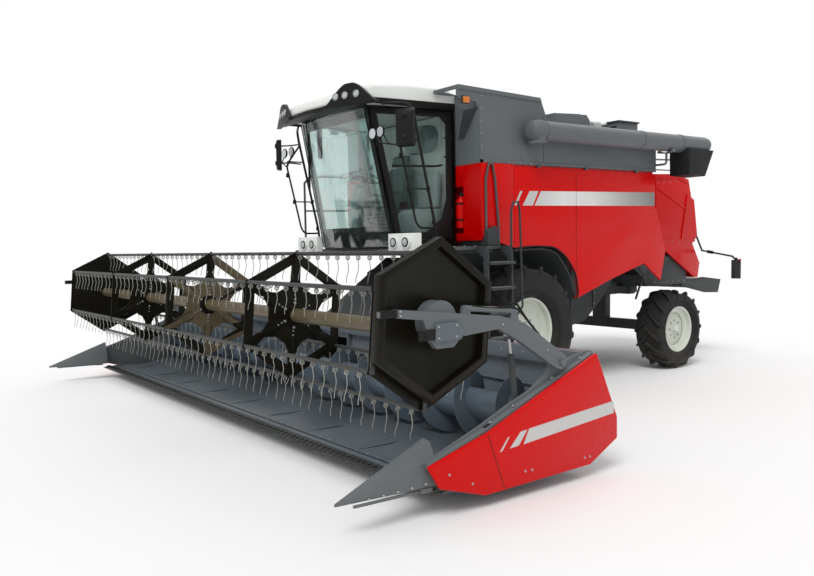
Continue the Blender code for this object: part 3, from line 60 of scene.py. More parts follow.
# Camera
# Stands off the header's left end at a standing person's eye height, as solved from the reel, the header's
# ends, the wheels and the cab in the picture.
camera = in_scene("camera", bpy.data.cameras.new("camera"))
camera.data.sensor_width = 36
camera.data.lens = 33.51
camera.data.shift_x, camera.data.shift_y = 0.1055, 0.0098
camera.data.clip_end = 200
camera.matrix_world = Matrix.Translation((7.977, -7.739, 2.002)) @ (
    Euler((math.radians(86.143), 0, math.radians(56.786))).to_matrix().to_4x4()
    @ Matrix.Rotation(math.radians(-1.393), 4, "Z"))
scene.camera = camera


# Studio floor and light
# A matt white floor that keeps the machine's soft shadow, a pale sky that the paint and glass mirror, and
# one broad lamp from the front left with a weaker one from behind.
def linear(r, g, b):
    """A colour written as it looks on a screen, 0 to 255, as the shader's linear value."""
    return tuple(((c / 255 + 0.055) / 1.055) ** 2.4 if c > 10 else c / 255 / 12.92 for c in (r, g, b)) + (1,)


def wire(tree, output, target):
    """Joins one node's output to another's input."""
    tree.links.new(output, target)


def node(tree, kind, **values):
    """A node with its plain settings, and its inputs by name where the value is not a setting."""
    made = tree.nodes.new(kind)
    for key, value in values.items():
        key = key.replace("__", " ")
        if key in made.inputs:
            made.inputs[key].default_value = value
        else:
            setattr(made, key, value)
    return made


def blank(name, slot="red_paint"):
    """A new material with its tree and shader. The slot names the paint shop's finish that it is."""
    finish = bpy.data.materials.new(name)
    finish.use_nodes = True
    finish["slot"] = slot
    return finish, finish.node_tree, finish.node_tree.nodes["Principled BSDF"]


def as_mesh(name, shape):
    """Ends a drawn shape as a mesh."""
    mesh = bpy.data.meshes.new(name)
    shape.to_mesh(mesh)
    shape.free()
    return mesh


studio_floor, tree, shader = blank("studio_floor")
shader.inputs["Base Color"].default_value = (0.93, 0.93, 0.93, 1)
shader.inputs["Roughness"].default_value = 0.95
shader.inputs["Specular IOR Level"].default_value = 0.1
ground = bmesh.new()
bmesh.ops.create_grid(ground, x_segments=1, y_segments=1, size=60)
floor = in_scene("floor", as_mesh("floor", ground))
floor.data.materials.append(studio_floor)

world = bpy.data.worlds.new("studio_sky")
scene.world = world
world.use_nodes = True
tree = world.node_tree
sky = tree.nodes["Background"]
seen = node(tree, "ShaderNodeLightPath")
level = node(tree, "ShaderNodeMix", data_type="FLOAT")
shown = node(tree, "ShaderNodeMath", operation="MAXIMUM")
level.inputs["A"].default_value = 0.62
level.inputs["B"].default_value = 1.0
wire(tree, seen.outputs["Is Camera Ray"], shown.inputs[0])
wire(tree, seen.outputs["Is Transmission Ray"], shown.inputs[1])
wire(tree, shown.outputs[0], level.inputs["Factor"])
wire(tree, level.outputs["Result"], sky.inputs["Strength"])
sky.inputs["Color"].default_value = (1, 1, 1, 1)


def lamp(name, energy, spread, turn):
    """A broad distant lamp: its level, how soft it is in degrees, and the way it is turned."""
    light = bpy.data.lights.new(name, "SUN")
    light.energy = energy
    light.angle = math.radians(spread)
    in_scene(name, light).rotation_euler = [math.radians(a) for a in turn]


lamp("key_lamp", 1.5, 25, (38, 0, 32))
lamp("back_lamp", 0.5, 50, (50, 0, 200))


# Front side strips and bulkhead
# Red sheet steel, powder coated and clear lacquered: the wall behind the cab and the strips that carry the
# side panels' front edge. The paint's layers are made once here and used again for every coated piece.
def pattern(tree, kind, **values):
    """A texture that reads the piece's own place, in metres."""
    made = node(tree, "ShaderNodeTex" + kind, **values)
    wire(tree, tree.nodes.new("ShaderNodeTexCoord").outputs["Object"], made.inputs["Vector"])
    return made


def bumped(tree, shader, height, strength, distance):
    """Raises a finish's surface by a pattern."""
    bump = node(tree, "ShaderNodeBump", Strength=strength, Distance=distance)
    wire(tree, height, bump.inputs["Height"])
    wire(tree, bump.outputs["Normal"], shader.inputs["Normal"])


def group_weathering():
    """Masks for a machine that stands outdoors: a dust film that thickens downwards, and a fine mottle."""
    made = bpy.data.node_groups.new("weathering", "ShaderNodeTree")
    for name, value in (("Dust", 0.2), ("Dust Height", 1.6), ("Patch Size", 2.5)):
        socket = made.interface.new_socket(name, in_out="INPUT", socket_type="NodeSocketFloat")
        socket.default_value = value
    for name in ("Dust Mask", "Mottle"):
        made.interface.new_socket(name, in_out="OUTPUT", socket_type="NodeSocketFloat")
    inp, out = made.nodes.new("NodeGroupInput"), made.nodes.new("NodeGroupOutput")
    place = made.nodes.new("ShaderNodeTexCoord")
    patches = pattern(made, "Noise", Detail=8.0, Roughness=0.65)
    fine = pattern(made, "Noise", Scale=38.0, Detail=4.0)
    wire(made, inp.outputs["Patch Size"], patches.inputs["Scale"])
    axes = made.nodes.new("ShaderNodeSeparateXYZ")
    wire(made, place.outputs["Object"], axes.inputs[0])
    fade = node(made, "ShaderNodeMapRange", clamp=True)
    fade.inputs["From Min"].default_value = 0.0
    fade.inputs["To Min"].default_value = 1.0
    fade.inputs["To Max"].default_value = 0.12
    wire(made, axes.outputs["Z"], fade.inputs["Value"])
    wire(made, inp.outputs["Dust Height"], fade.inputs["From Max"])
    spread = node(made, "ShaderNodeMapRange", clamp=True)
    spread.inputs["From Min"].default_value = 0.38
    spread.inputs["From Max"].default_value = 0.72
    wire(made, patches.outputs["Fac"], spread.inputs["Value"])
    film = node(made, "ShaderNodeMath", operation="MULTIPLY")
    wire(made, fade.outputs["Result"], film.inputs[0])
    wire(made, spread.outputs["Result"], film.inputs[1])
    amount = node(made, "ShaderNodeMath", operation="MULTIPLY")
    wire(made, film.outputs[0], amount.inputs[0])
    wire(made, inp.outputs["Dust"], amount.inputs[1])
    wire(made, amount.outputs[0], out.inputs["Dust Mask"])
    wire(made, fine.outputs["Fac"], out.inputs["Mottle"])
    return made


WEATHERING = group_weathering()
DUST = linear(170, 158, 138)


def weather(tree, shader, colour, dust, dust_height, rough_low, rough_high, dust_colour=DUST):
    """Feeds a finish's colour and roughness through the weathering masks."""
    layer = tree.nodes.new("ShaderNodeGroup")
    layer.node_tree = WEATHERING
    layer.inputs["Dust"].default_value = dust
    layer.inputs["Dust Height"].default_value = dust_height
    tone = node(tree, "ShaderNodeMix", data_type="RGBA")
    tone.inputs["A"].default_value = colour
    tone.inputs["B"].default_value = dust_colour
    wire(tree, layer.outputs["Dust Mask"], tone.inputs["Factor"])
    wire(tree, tone.outputs["Result"], shader.inputs["Base Color"])
    rough = node(tree, "ShaderNodeMapRange")
    rough.inputs["From Min"].default_value = 0.3
    rough.inputs["From Max"].default_value = 0.7
    rough.inputs["To Min"].default_value = rough_low
    rough.inputs["To Max"].default_value = rough_high
    wire(tree, layer.outputs["Mottle"], rough.inputs["Value"])
    wire(tree, rough.outputs["Result"], shader.inputs["Roughness"])


def coated(name, colour, rough, slot, coat=0.0, dust=0.15, dust_height=1.6, peel=0.0006, peel_scale=260,
           gloss=0.25):
    """Powder coat or lacquer on sheet steel, with its orange peel."""
    finish, tree, shader = blank(name, slot)
    weather(tree, shader, colour, dust, dust_height, rough * 0.85, rough * 1.25)
    shader.inputs["Specular IOR Level"].default_value = gloss
    shader.inputs["Coat Weight"].default_value = coat
    shader.inputs["Coat Roughness"].default_value = 0.06
    bumped(tree, shader, pattern(tree, "Noise", Scale=peel_scale, Detail=2.0).outputs["Fac"], 0.6, peel)
    return finish


def metal(name, colour, rough, metallic):
    """Plated or worked metal: a dull bloom in patches and fine rubbed lines."""
    finish, tree, shader = blank(name, "bare_steel")
    weather(tree, shader, colour, 0.08, 1.4, rough * 0.8, rough * 1.3)
    shader.inputs["Metallic"].default_value = metallic
    bumped(tree, shader, pattern(tree, "Noise", Scale=90.0, Detail=5.0).outputs["Fac"], 0.25, 0.0006)
    return finish


red_lacquer = coated("red_lacquer", linear(207, 1, 0), 0.28, "red_paint", coat=0.10, dust=0.0, gloss=0.12)


def plain(piece):
    """Replaces a piece's live modifiers with the mesh that they make."""
    bpy.context.view_layer.update()
    mesh = bpy.data.meshes.new_from_object(piece.evaluated_get(bpy.context.evaluated_depsgraph_get()))
    mesh.name = piece.name
    piece.modifiers.clear()
    piece.data = mesh
    return mesh


def finished(name, mesh, finish, body, stands_for=(), roll=0.0, steps=2, corner=30, smooth=35):
    """A mesh in its place as a finished piece, with its edges rolled by this radius."""
    for coat in finish if isinstance(finish, tuple) else (finish,):
        mesh.materials.append(coat)
    piece = in_scene(name, mesh)
    if roll:
        edge = piece.modifiers.new("roll", "BEVEL")
        edge.width, edge.segments, edge.limit_method = roll, steps, "ANGLE"
        edge.angle_limit = math.radians(corner)
        plain(piece)
    piece.data.shade_smooth()
    piece.data.set_sharp_from_angle(angle=math.radians(smooth))
    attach(piece, body)
    if stands_for:
        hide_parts(*stands_for)
    return piece


# Sizes are measured back from the front axle, as a maker would
AXLE_Y = sum(corner[1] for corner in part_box("front_rim_left")) / 2


def rolled(name, finish, body="machine", roll=0.006, steps=2, corner=30, smooth=35, second=None, carve=()):
    """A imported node's own shape with its corners rolled, standing in for it. Where second says so of a face's
    middle, measured from the front axle, the face takes the second of two finishes. The boxes in carve, also
    measured from the front axle, are cut away before the corners are rolled."""
    shape = bmesh.new()
    shape.from_mesh(NODES[name].data)
    bmesh.ops.remove_doubles(shape, verts=shape.verts, dist=2e-5)
    bmesh.ops.dissolve_limit(shape, angle_limit=math.radians(1), verts=shape.verts, edges=shape.edges)
    for face in shape.faces if second else ():
        middle = face.calc_center_median() - Vector((0, AXLE_Y, 0))
        face.material_index = int(second(*middle))
    mesh = as_mesh(name, shape)
    for (x0, x1), (y0, y1), (z0, z1) in carve:
        form = bmesh.new()
        middle = Matrix.Translation(((x0 + x1) / 2, (y0 + y1) / 2 + AXLE_Y, (z0 + z1) / 2))
        size = Matrix.Diagonal((x1 - x0, y1 - y0, z1 - z0, 1))
        bmesh.ops.create_cube(form, size=1, matrix=middle @ size)
        uncut, cutter = in_scene("uncut", mesh), in_scene("cutter", as_mesh("cutter", form))
        mill = uncut.modifiers.new("mill", "BOOLEAN")
        mill.operation, mill.solver, mill.object = "DIFFERENCE", "EXACT", cutter
        mesh = plain(uncut)
        bpy.data.objects.remove(uncut)
        bpy.data.objects.remove(cutter)
    return finished(name + "_dressed", mesh, finish, body, (name,), roll, steps, corner, smooth)


def built(name, shape, finish, body="machine", stands_for=(), **rolling):
    """Ends a shape drawn from the front axle: moves it to its place and makes it a piece."""
    bmesh.ops.translate(shape, verts=shape.verts, vec=(0, AXLE_Y, 0))
    return finished(name, as_mesh(name, shape), finish, body, stands_for, **rolling)


def shell(shape, rings, closed=False):
    """Skins a run of rings of points and caps its ends."""
    grid = [[shape.verts.new(p) for p in ring] for ring in rings]
    faces = []
    for a, b in zip(grid, grid[1:] + (grid[:1] if closed else [])):
        for i in range(len(a)):
            j = (i + 1) % len(a)
            faces.append(shape.faces.new((a[i], a[j], b[j], b[i])))
    if not closed:
        faces += [shape.faces.new(grid[0][::-1]), shape.faces.new(grid[-1])]
    bmesh.ops.recalc_face_normals(shape, faces=faces)


def plate(shape, outline, axis, low, high):
    """A plate whose outline is drawn in the two other axes, in their order."""
    order = {"x": (2, 0, 1), "y": (0, 2, 1), "z": (0, 1, 2)}[axis]
    shell(shape, [[[(u, v, w)[k] for k in order] for u, v in outline] for w in (low, high)])


def side_plate(shape, sign, outline, inner, outer):
    """A plate on one side of the machine, between two distances from its middle."""
    plate(shape, outline, "x", *sorted((sign * inner, sign * outer)))


def bar(shape, x, y, z):
    """A square-edged bar or box between two values on each axis."""
    plate(shape, [(x[0], y[0]), (x[1], y[0]), (x[1], y[1]), (x[0], y[1])], "z", *z)


def side_bar(shape, sign, x, y, z):
    """A bar on one side of the machine, its two x values given as distances from the middle."""
    bar(shape, sorted((sign * x[0], sign * x[1])), y, z)


def angles(count):
    """Evenly spaced angles round a full turn."""
    return [2 * math.pi * k / count for k in range(count)]


def across(direction):
    """Two unit vectors square to a direction."""
    direction = Vector(direction).normalized()
    side = direction.cross(Vector((0, 0, 1)) if abs(direction.z) < 0.9 else Vector((1, 0, 0))).normalized()
    return side, direction.cross(side)


def spindle(shape, a, b, stations, sides=16):
    """A round form along a line, from (distance along from 0 to 1, radius) stations."""
    a, b = Vector(a), Vector(b)
    u, v = across(b - a)
    shell(shape, [[a + (b - a) * t + (u * math.cos(w) + v * math.sin(w)) * max(r, 1e-4)
                   for w in angles(sides)] for t, r in stations])


def rod(shape, a, b, r, sides=12):
    """A round bar from one place to another."""
    spindle(shape, a, b, ((0, r), (1, r)), sides)


def eased(points, bend):
    """A bent tube's centre line: each corner becomes a short arc in four steps."""
    points = [Vector(p) for p in points]
    path = [points[0]]
    for before, corner, after in zip(points, points[1:], points[2:]):
        reach = min(bend, (before - corner).length * 0.45, (after - corner).length * 0.45)
        start = corner + (before - corner).normalized() * reach
        end = corner + (after - corner).normalized() * reach
        path += [start * (1 - t) ** 2 + corner * 2 * t * (1 - t) + end * t * t
                 for t in (0, 0.25, 0.5, 0.75, 1)]
    return path + [points[-1]]


def tube(shape, points, r, sides=10, bend=0.05):
    """A bent tube, its section carried along without twist."""
    path = eased(points, bend) if bend else [Vector(p) for p in points]
    side = across(path[1] - path[0])[0]
    rings = []
    for i, p in enumerate(path):
        along = (path[min(i + 1, len(path) - 1)] - path[max(i - 1, 0)]).normalized()
        side = (side - along * side.dot(along)).normalized()
        up = along.cross(side)
        rings.append([p + (side * math.cos(w) + up * math.sin(w)) * r for w in angles(sides)])
    shell(shape, rings)


def start_tree(name, result, **inputs):
    """An empty tree: its places, its own inputs with their kinds and values, its finish and its result."""
    made = bpy.data.node_groups.new(name, "GeometryNodeTree")
    for key, (kind, value) in dict(Places=("Geometry", None), **inputs, Finish=("Material", None)).items():
        socket = made.interface.new_socket(key, in_out="INPUT", socket_type="NodeSocket" + kind)
        if value is not None:
            socket.default_value = value
    made.interface.new_socket(result, in_out="OUTPUT", socket_type="NodeSocketGeometry")
    return made, made.nodes.new("NodeGroupInput"), made.nodes.new("NodeGroupOutput")


def end_tree(made, inp, out, form, turn):
    """Sets a form on each place with its turn, makes the copies real and gives them their finish."""
    setting = made.nodes.new("GeometryNodeInstanceOnPoints")
    real = made.nodes.new("GeometryNodeRealizeInstances")
    coat = made.nodes.new("GeometryNodeSetMaterial")
    wire(made, inp.outputs["Places"], setting.inputs["Points"])
    wire(made, form, setting.inputs["Instance"])
    wire(made, turn, setting.inputs["Rotation"])
    wire(made, setting.outputs["Instances"], real.inputs["Geometry"])
    wire(made, real.outputs["Geometry"], coat.inputs["Geometry"])
    wire(made, inp.outputs["Finish"], coat.inputs["Material"])
    wire(made, coat.outputs["Geometry"], out.inputs[0])
    return made


def heads_tree():
    """Bolt or rivet heads on points, each turned to face the way that its point says."""
    made, inp, out = start_tree("bolt_heads", "Heads", Radius=("Float", 0.009), Height=("Float", 0.006),
        Flats=("Int", 6))
    head = node(made, "GeometryNodeMeshCone", fill_type="NGON")
    shoulder = node(made, "ShaderNodeMath", operation="MULTIPLY")
    shoulder.inputs[1].default_value = 0.8
    facing = node(made, "GeometryNodeInputNamedAttribute", data_type="FLOAT_VECTOR", Name="facing")
    turn = node(made, "FunctionNodeAlignRotationToVector", axis="Z")
    wire(made, inp.outputs["Flats"], head.inputs["Vertices"])
    wire(made, inp.outputs["Radius"], head.inputs["Radius Bottom"])
    wire(made, inp.outputs["Radius"], shoulder.inputs[0])
    wire(made, shoulder.outputs[0], head.inputs["Radius Top"])
    wire(made, inp.outputs["Height"], head.inputs["Depth"])
    wire(made, facing.outputs["Attribute"], turn.inputs["Vector"])
    return end_tree(made, inp, out, head.outputs["Mesh"], turn.outputs["Rotation"])


BOLT_HEADS = heads_tree()


def grown(name, places, tree, finish, body, facing=(), **values):
    """Runs a tree with its named inputs on places drawn from the front axle, and keeps the plain mesh."""
    mesh = bpy.data.meshes.new(name)
    mesh.from_pydata([Vector(p) + Vector((0, AXLE_Y, 0)) for p in places], [], [])
    ways = mesh.attributes.new("facing", "FLOAT_VECTOR", "POINT") if facing else None
    for k, way in enumerate(facing):
        ways.data[k].vector = way
    piece = in_scene(name, mesh)
    live = piece.modifiers.new("grow", "NODES")
    live.node_group = tree
    sockets = {item.name: item.identifier for item in tree.interface.items_tree if item.in_out == "INPUT"}
    for key, value in dict(values, Finish=finish).items():
        live[sockets[key.replace("_", " ")]] = value
    made = plain(piece)
    bpy.data.objects.remove(piece)
    made.materials.clear()
    return finished(name, made, finish, body)


def bolts(name, places, finish, body="machine", radius=0.010, height=0.007, flats=6):
    """Heads on a list of (place, the way it faces), drawn from the front axle."""
    spots, facing = zip(*places)
    grown(name, spots, BOLT_HEADS, finish, body, facing, Radius=radius, Height=height, Flats=flats)


def line(a, b, count, way):
    """Evenly spaced places from a to b that face one way."""
    a, b = Vector(a), Vector(b)
    return [(a.lerp(b, k / max(count - 1, 1)), way) for k in range(count)]


def mirrored(places):
    """The same places and ways on both sides of the machine."""
    return places + [(Vector((-p[0], p[1], p[2])), (-w[0], w[1], w[2])) for p, w in places]


BOTTLE_NICHE = ((0.90, 1.076), (-0.84, -0.655), (2.10, 2.68))
rolled("front_bulkhead", red_lacquer, carve=[BOTTLE_NICHE])
zinc = metal("zinc_plate", linear(176, 178, 176), 0.32, 0.5)
black_coat = coated("black_coat", linear(19, 19, 18), 0.42, "black_paint", dust=0.04, gloss=0.22)
seams = line((0.975, -0.803, 2.10), (0.975, -0.803, 2.88), 6, (0, -1, 0))
seams += line((1.393, -0.74, 2.12), (1.393, -0.74, 2.86), 6, (1, 0, 0))
bolts("bulkhead_bolts", mirrored(seams), red_lacquer, radius=0.009)

# Side panels
# Long lift-up guards of pressed steel in red lacquer, hinged under the grey cover. Each has a folded flange
# along its edges, a butt joint between its two sheets and an edge trim of black rubber over the wheel arch.
SIDES = (("left", 1), ("right", -1))
PANEL_X = 1.39
ARCH_EDGE = [(-0.242, 1.90), (0.115, 1.921), (0.517, 1.901), (0.743, 1.77), (0.937, 1.534), (0.985, 1.275),
             (0.936, 1.201)]
# The band's grey is painted sheen: it runs along the machine from 200 at the front up to 232, then down to 128
# at the rear, lighter and darker stretches standing in for how the light falls along the panel. On the header's
# end covers the ramp stays at its front grey.
band_foil_painted_sheen, tree, shader = blank("silver_foil", "red_paint")
axes = tree.nodes.new("ShaderNodeSeparateXYZ")
fade = node(tree, "ShaderNodeMapRange")
painted_sheen_ramp = node(tree, "ShaderNodeValToRGB")
wire(tree, tree.nodes.new("ShaderNodeTexCoord").outputs["Object"], axes.inputs[0])
wire(tree, axes.outputs["Y"], fade.inputs["Value"])
for key, value in (("From Min", AXLE_Y + 0.1), ("From Max", AXLE_Y + 2.69)):
    fade.inputs[key].default_value = value
wire(tree, fade.outputs["Result"], painted_sheen_ramp.inputs["Fac"])
while len(painted_sheen_ramp.color_ramp.elements) < 5:
    painted_sheen_ramp.color_ramp.elements.new(0.5)
for stop, (spot, grey) in zip(painted_sheen_ramp.color_ramp.elements,
           ((0.0, 200), (0.22, 232), (0.45, 226), (0.75, 172), (1.0, 128))):
    stop.position, stop.color = spot, linear(grey, grey, grey - 2)
wire(tree, painted_sheen_ramp.outputs["Color"], shader.inputs["Base Color"])
shader.inputs["Metallic"].default_value = 0.25
rough = node(tree, "ShaderNodeMapRange")
rough.inputs["To Min"].default_value, rough.inputs["To Max"].default_value = 0.30, 0.42
wire(tree, pattern(tree, "Noise", Scale=420.0).outputs["Fac"], rough.inputs["Value"])
wire(tree, rough.outputs["Result"], shader.inputs["Roughness"])
PANEL_BANDS = [[(0.247, 2.618), (2.683, 2.644), (2.683, 2.449), (0.124, 2.433)],
               [(0.039, 2.616), (0.200, 2.617), (0.093, 2.433), (-0.092, 2.433)],
               [(-0.135, 2.612), (-0.095, 2.612), (-0.205, 2.433), (-0.238, 2.433)]]
rubber_trim = coated("rubber_trim", linear(22, 22, 22), 0.7, "black_paint", dust=0.12)
for side, sign in SIDES:
    body = "side_panel_" + side
    rolled(body, red_lacquer, body=body, roll=0.011, steps=3)
    shape = bmesh.new()
    for band in PANEL_BANDS:
        plate(shape, band, "x", sign * (PANEL_X + 0.0002), sign * (PANEL_X + 0.0018))
    built("panel_band_" + side, shape, band_foil_painted_sheen, body)
    shape = bmesh.new()
    plate(shape, [(0.936, 1.45), (0.940, 1.45), (0.940, 2.86), (0.936, 2.86)], "x", sign * PANEL_X,
          sign * (PANEL_X + 0.0025))
    tube(shape, [(sign * 1.388, y, z) for y, z in ARCH_EDGE], 0.011, sides=8, bend=0.12)
    built("panel_trim_" + side, shape, rubber_trim, body)
    x, way = sign * PANEL_X, (sign, 0, 0)
    seams = line((x, -0.20, 2.885), (x, 2.66, 2.885), 14, way)
    seams += line((x, 1.25, 1.36), (x, 2.30, 1.66), 5, way)
    bolts("panel_bolts_" + side, seams, red_lacquer, body, radius=0.008, height=0.004, flats=10)

# Rear hood
# The red cover over the walkers and the spreader, in bolted steel sheets: a rolled roof edge, a rib at each
# joint, a folded lower lip and the bracket arms for the tail lamps.
dark_coat = coated("dark_coat", linear(58, 62, 64), 0.48, "dark_grey_paint", dust=0.10, gloss=0.22)
HOOD_RIBS = ([(3.33, 2.745), (4.16, 2.404), (4.16, 2.43), (3.345, 2.768)],
             [(2.80, 2.87), (3.9, 2.915), (4.18, 2.83), (4.19, 2.855), (3.9, 2.945), (2.80, 2.90)],
             [(3.31, 1.93), (3.335, 1.93), (3.335, 2.86), (3.31, 2.86)],
             [(2.80, 2.02), (4.38, 1.905), (4.38, 1.93), (2.80, 2.045)],
             [(3.99, 1.95), (4.02, 1.95), (4.18, 2.67), (4.15, 2.67)])


def on_lamp_arm(x, y, z):
    """Whether a place lies on the brackets outside the hood's side sheets or on its tail plate."""
    return abs(x) > 1.01 or y > 4.5 and z > 1.58


rolled("rear_hood", (red_lacquer, dark_coat), roll=0.006, steps=3, second=on_lamp_arm)
shape = bmesh.new()
for sign in (-1, 1):
    for rib in HOOD_RIBS:
        side_plate(shape, sign, rib, 0.998, 1.012)
built("hood_ribs", shape, red_lacquer, roll=0.003)
HOOD_X = 1.002
seams = line((HOOD_X, 2.84, 1.99), (HOOD_X, 4.30, 1.87), 9, (1, 0, 0))
seams += line((HOOD_X, 2.84, 2.80), (HOOD_X, 3.86, 2.86), 7, (1, 0, 0))
bolts("hood_bolts", mirrored(seams), zinc, radius=0.009)

# Tail lamps
# Each hangs on a bent steel tube that swings out past the hood: a plain backing board with a red stop lamp
# and an amber one in moulded lenses.
TAIL_X = 1.45
shape = bmesh.new()
for sign in (-1, 1):
    spindle(shape, (sign * 1.07, 4.630, 1.743), (sign * 1.15, 4.667, 1.723),
            ((0, 0.017), (0, 0.026), (1, 0.026), (1, 0.017)), 10)
    rod(shape, (sign * TAIL_X, 4.80, 1.60), (sign * TAIL_X, 4.80, 1.635), 0.024, 10)
built("lamp_collars", shape, black_coat)


def lens(name, colour):
    """Moulded clear plastic over a reflector, with its fine cast ribs."""
    finish, tree, shader = blank(name, "cab_glass")
    ribs = pattern(tree, "Voronoi", Scale=150.0)
    tone = node(tree, "ShaderNodeMix", data_type="RGBA")
    tone.inputs["A"].default_value = colour
    tone.inputs["B"].default_value = tuple(c * 0.55 for c in colour[:3]) + (1,)
    wire(tree, ribs.outputs["Distance"], tone.inputs["Factor"])
    wire(tree, tone.outputs["Result"], shader.inputs["Base Color"])
    bumped(tree, shader, ribs.outputs["Distance"], 0.5, 0.002)
    shader.inputs["Roughness"].default_value = 0.12
    shader.inputs["Coat Weight"].default_value = 0.6
    return finish


red_lens = lens("red_lens", linear(150, 8, 6))
amber_lens = lens("amber_lens", linear(240, 130, 12))
reds, ambers = bmesh.new(), bmesh.new()
for sign in (-1, 1):
    x = sign * TAIL_X
    for lamps, z in ((reds, 1.52), (ambers, 1.395)):
        spindle(lamps, (x, 4.820, z), (x, 4.848, z), ((0, 0.045), (0.6, 0.045), (1, 0.036)), 20)
    spindle(reds, (sign * 1.505, 4.77, 1.60), (sign * 1.545, 4.77, 1.60),
            ((0, 0.018), (0.8, 0.018), (1, 0.012)), 12)
built("stop_lamps", reds, red_lens)
built("turn_lamps", ambers, amber_lens)

# Grain tank
# Grey powder-coated steel: the hopper with its overhanging extension, the engine cover behind it and the
# louvred radiator box. Sheets are riveted at the front corners and along the foot, and red strips close the
# seam above the side panels.
grey_coat = coated("grey_coat", linear(98, 103, 106), 0.42, "grey_paint", dust=0.10)
shape = bmesh.new()
for sign in (-1, 1):
    side_bar(shape, sign, (1.335, 1.352), (-0.24, 2.69), (2.88, 2.9385))
built("seam_strips", shape, red_lacquer)
OVERHANG_ENDS = [(x, (-1.20, -0.801), (3.50, 3.792)) for x in ((0.90, 1.331), (-1.331, -0.90))]
TURRET_FOOT = ((1.3652, 1.80), (-0.20, 0.25), (2.945, 3.30))
rolled("grain_tank", grey_coat, roll=0.005, steps=3, carve=OVERHANG_ENDS + [TURRET_FOOT])
shape = bmesh.new()
for sign in (-1, 1):
    for strip in ([(-0.795, 2.945), (-0.745, 2.945), (-0.745, 3.575), (-0.795, 3.575)],
                  [(-0.795, 2.945), (2.76, 2.945), (2.76, 2.985), (-0.795, 2.985)],
                  [(0.335, 2.99), (0.385, 2.99), (0.385, 3.56), (0.345, 3.60)]):
        side_plate(shape, sign, strip, 1.3595, 1.3650)
built("tank_strips", shape, grey_coat, roll=0.0015)
TANK_X = 1.365
side_rivets = line((TANK_X, -0.766, 2.995), (TANK_X, -0.766, 3.735), 6, (1, 0, 0))
side_rivets += line((TANK_X, -0.70, 2.958), (TANK_X, 2.70, 2.958), 18, (1, 0, 0))
bolts("tank_rivets", mirrored(side_rivets), zinc, radius=0.0075, height=0.004, flats=10)


def cover_z(y):
    """The height of the engine cover's sloping top at this distance behind the axle."""
    return 3.562 - (y - 0.38) * 0.1266


cover_screws = [(Vector((x, y, cover_z(y))), (0, 0.125, 0.99)) for x in (-1.31, -0.66, 0.0, 1.31)
                for y in (0.45, 1.6, 2.70)]
bolts("cover_screws", cover_screws, zinc, radius=0.010, height=0.005)


def slats_tree():
    """A slanted slat on each of a row of places, as in a louvre."""
    made, inp, out = start_tree("slat_row", "Slats", Width=("Float", 0.7), Depth=("Float", 0.04),
                                Thickness=("Float", 0.004), Tilt=("Float", 0.6))
    size, turn = made.nodes.new("ShaderNodeCombineXYZ"), made.nodes.new("ShaderNodeCombineXYZ")
    slat = made.nodes.new("GeometryNodeMeshCube")
    for name, axis in (("Width", "X"), ("Depth", "Y"), ("Thickness", "Z")):
        wire(made, inp.outputs[name], size.inputs[axis])
    wire(made, inp.outputs["Tilt"], turn.inputs["X"])
    wire(made, size.outputs[0], slat.inputs["Size"])
    return end_tree(made, inp, out, slat.outputs["Mesh"], turn.outputs[0])


SLATS = slats_tree()
louvres = [(0.825, y, 3.672 + (y - 0.75) * 0.045) for y in [0.80 + 0.047 * k for k in range(12)]]
grown("radiator_louvres", louvres, SLATS, black_coat, "machine", Width=0.66, Depth=0.030, Thickness=0.005,
      Tilt=0.5)
louvres = [(0.875, 2.243, 3.40 + 0.035 * k) for k in range(7)]
grown("cleaner_louvres", louvres, SLATS, black_coat, "machine", Width=0.38, Depth=0.022, Thickness=0.004,
      Tilt=0.7)

# Tank grate, engine deck and intake
# Inside the hopper lie the two cross augers under their roof-shaped guards; behind the cover stand the
# intake with its bright heat-shield pipe, a breather lid and the deck's guard rail.
shape = bmesh.new()
for y in (-0.42, 0.02):
    plate(shape, [(y - 0.13, 3.318), (y, 3.42), (y + 0.13, 3.318), (y + 0.13, 3.312), (y, 3.410),
          (y - 0.13, 3.312)], "x", -1.28, 1.28)
for x in (-0.9, -0.3, 0.3, 0.9):
    bar(shape, (x - 0.02, x + 0.02), (-0.615, 0.235), (3.66, 3.69))
built("tank_guards", shape, grey_coat)
bright_pipe = metal("bright_pipe", linear(196, 198, 198), 0.26, 0.9)
shape = bmesh.new()
spindle(shape, (0.85, 1.93, 3.60), (0.85, 2.42, 3.62), ((0, 0.05), (0, 0.085), (0.06, 0.0955), (0.25, 0.0955),
        (0.27, 0.099), (0.31, 0.099), (0.33, 0.0955), (0.66, 0.0955), (0.68, 0.099), (0.72, 0.099),
        (0.74, 0.0955), (0.95, 0.0955), (1, 0.085), (1, 0.05)), 28)
spindle(shape, (0.45, 2.05, 3.26), (0.45, 2.05, 3.60), ((0, 0.05), (0.8, 0.05), (0.82, 0.06), (1, 0.06)), 20)
built("intake_pipe", shape, bright_pipe)
shape = bmesh.new()
spindle(shape, (0.85, 2.0, 3.34), (0.85, 2.0, 3.53), ((0, 0.10), (0.12, 0.10), (0.14, 0.078), (1, 0.078)), 20)
for x, y, r in ((-0.3, 1.2, 0.16), (-0.75, 2.2, 0.09), (-0.2, 2.3, 0.06)):
    z = cover_z(y)
    spindle(shape, (x, y, z - 0.01), (x, y, z + 0.06), ((0, r), (0.5, r), (0.6, r * 1.08), (0.9, r * 1.08),
            (1, r * 0.9)), 24)
bar(shape, (0.63, 1.12), (2.23, 2.72), (3.668, 3.692))
bar(shape, (-1.0, -0.55), (0.7, 1.1), (3.52, 3.585))
built("deck_fittings", shape, dark_coat, roll=0.004)
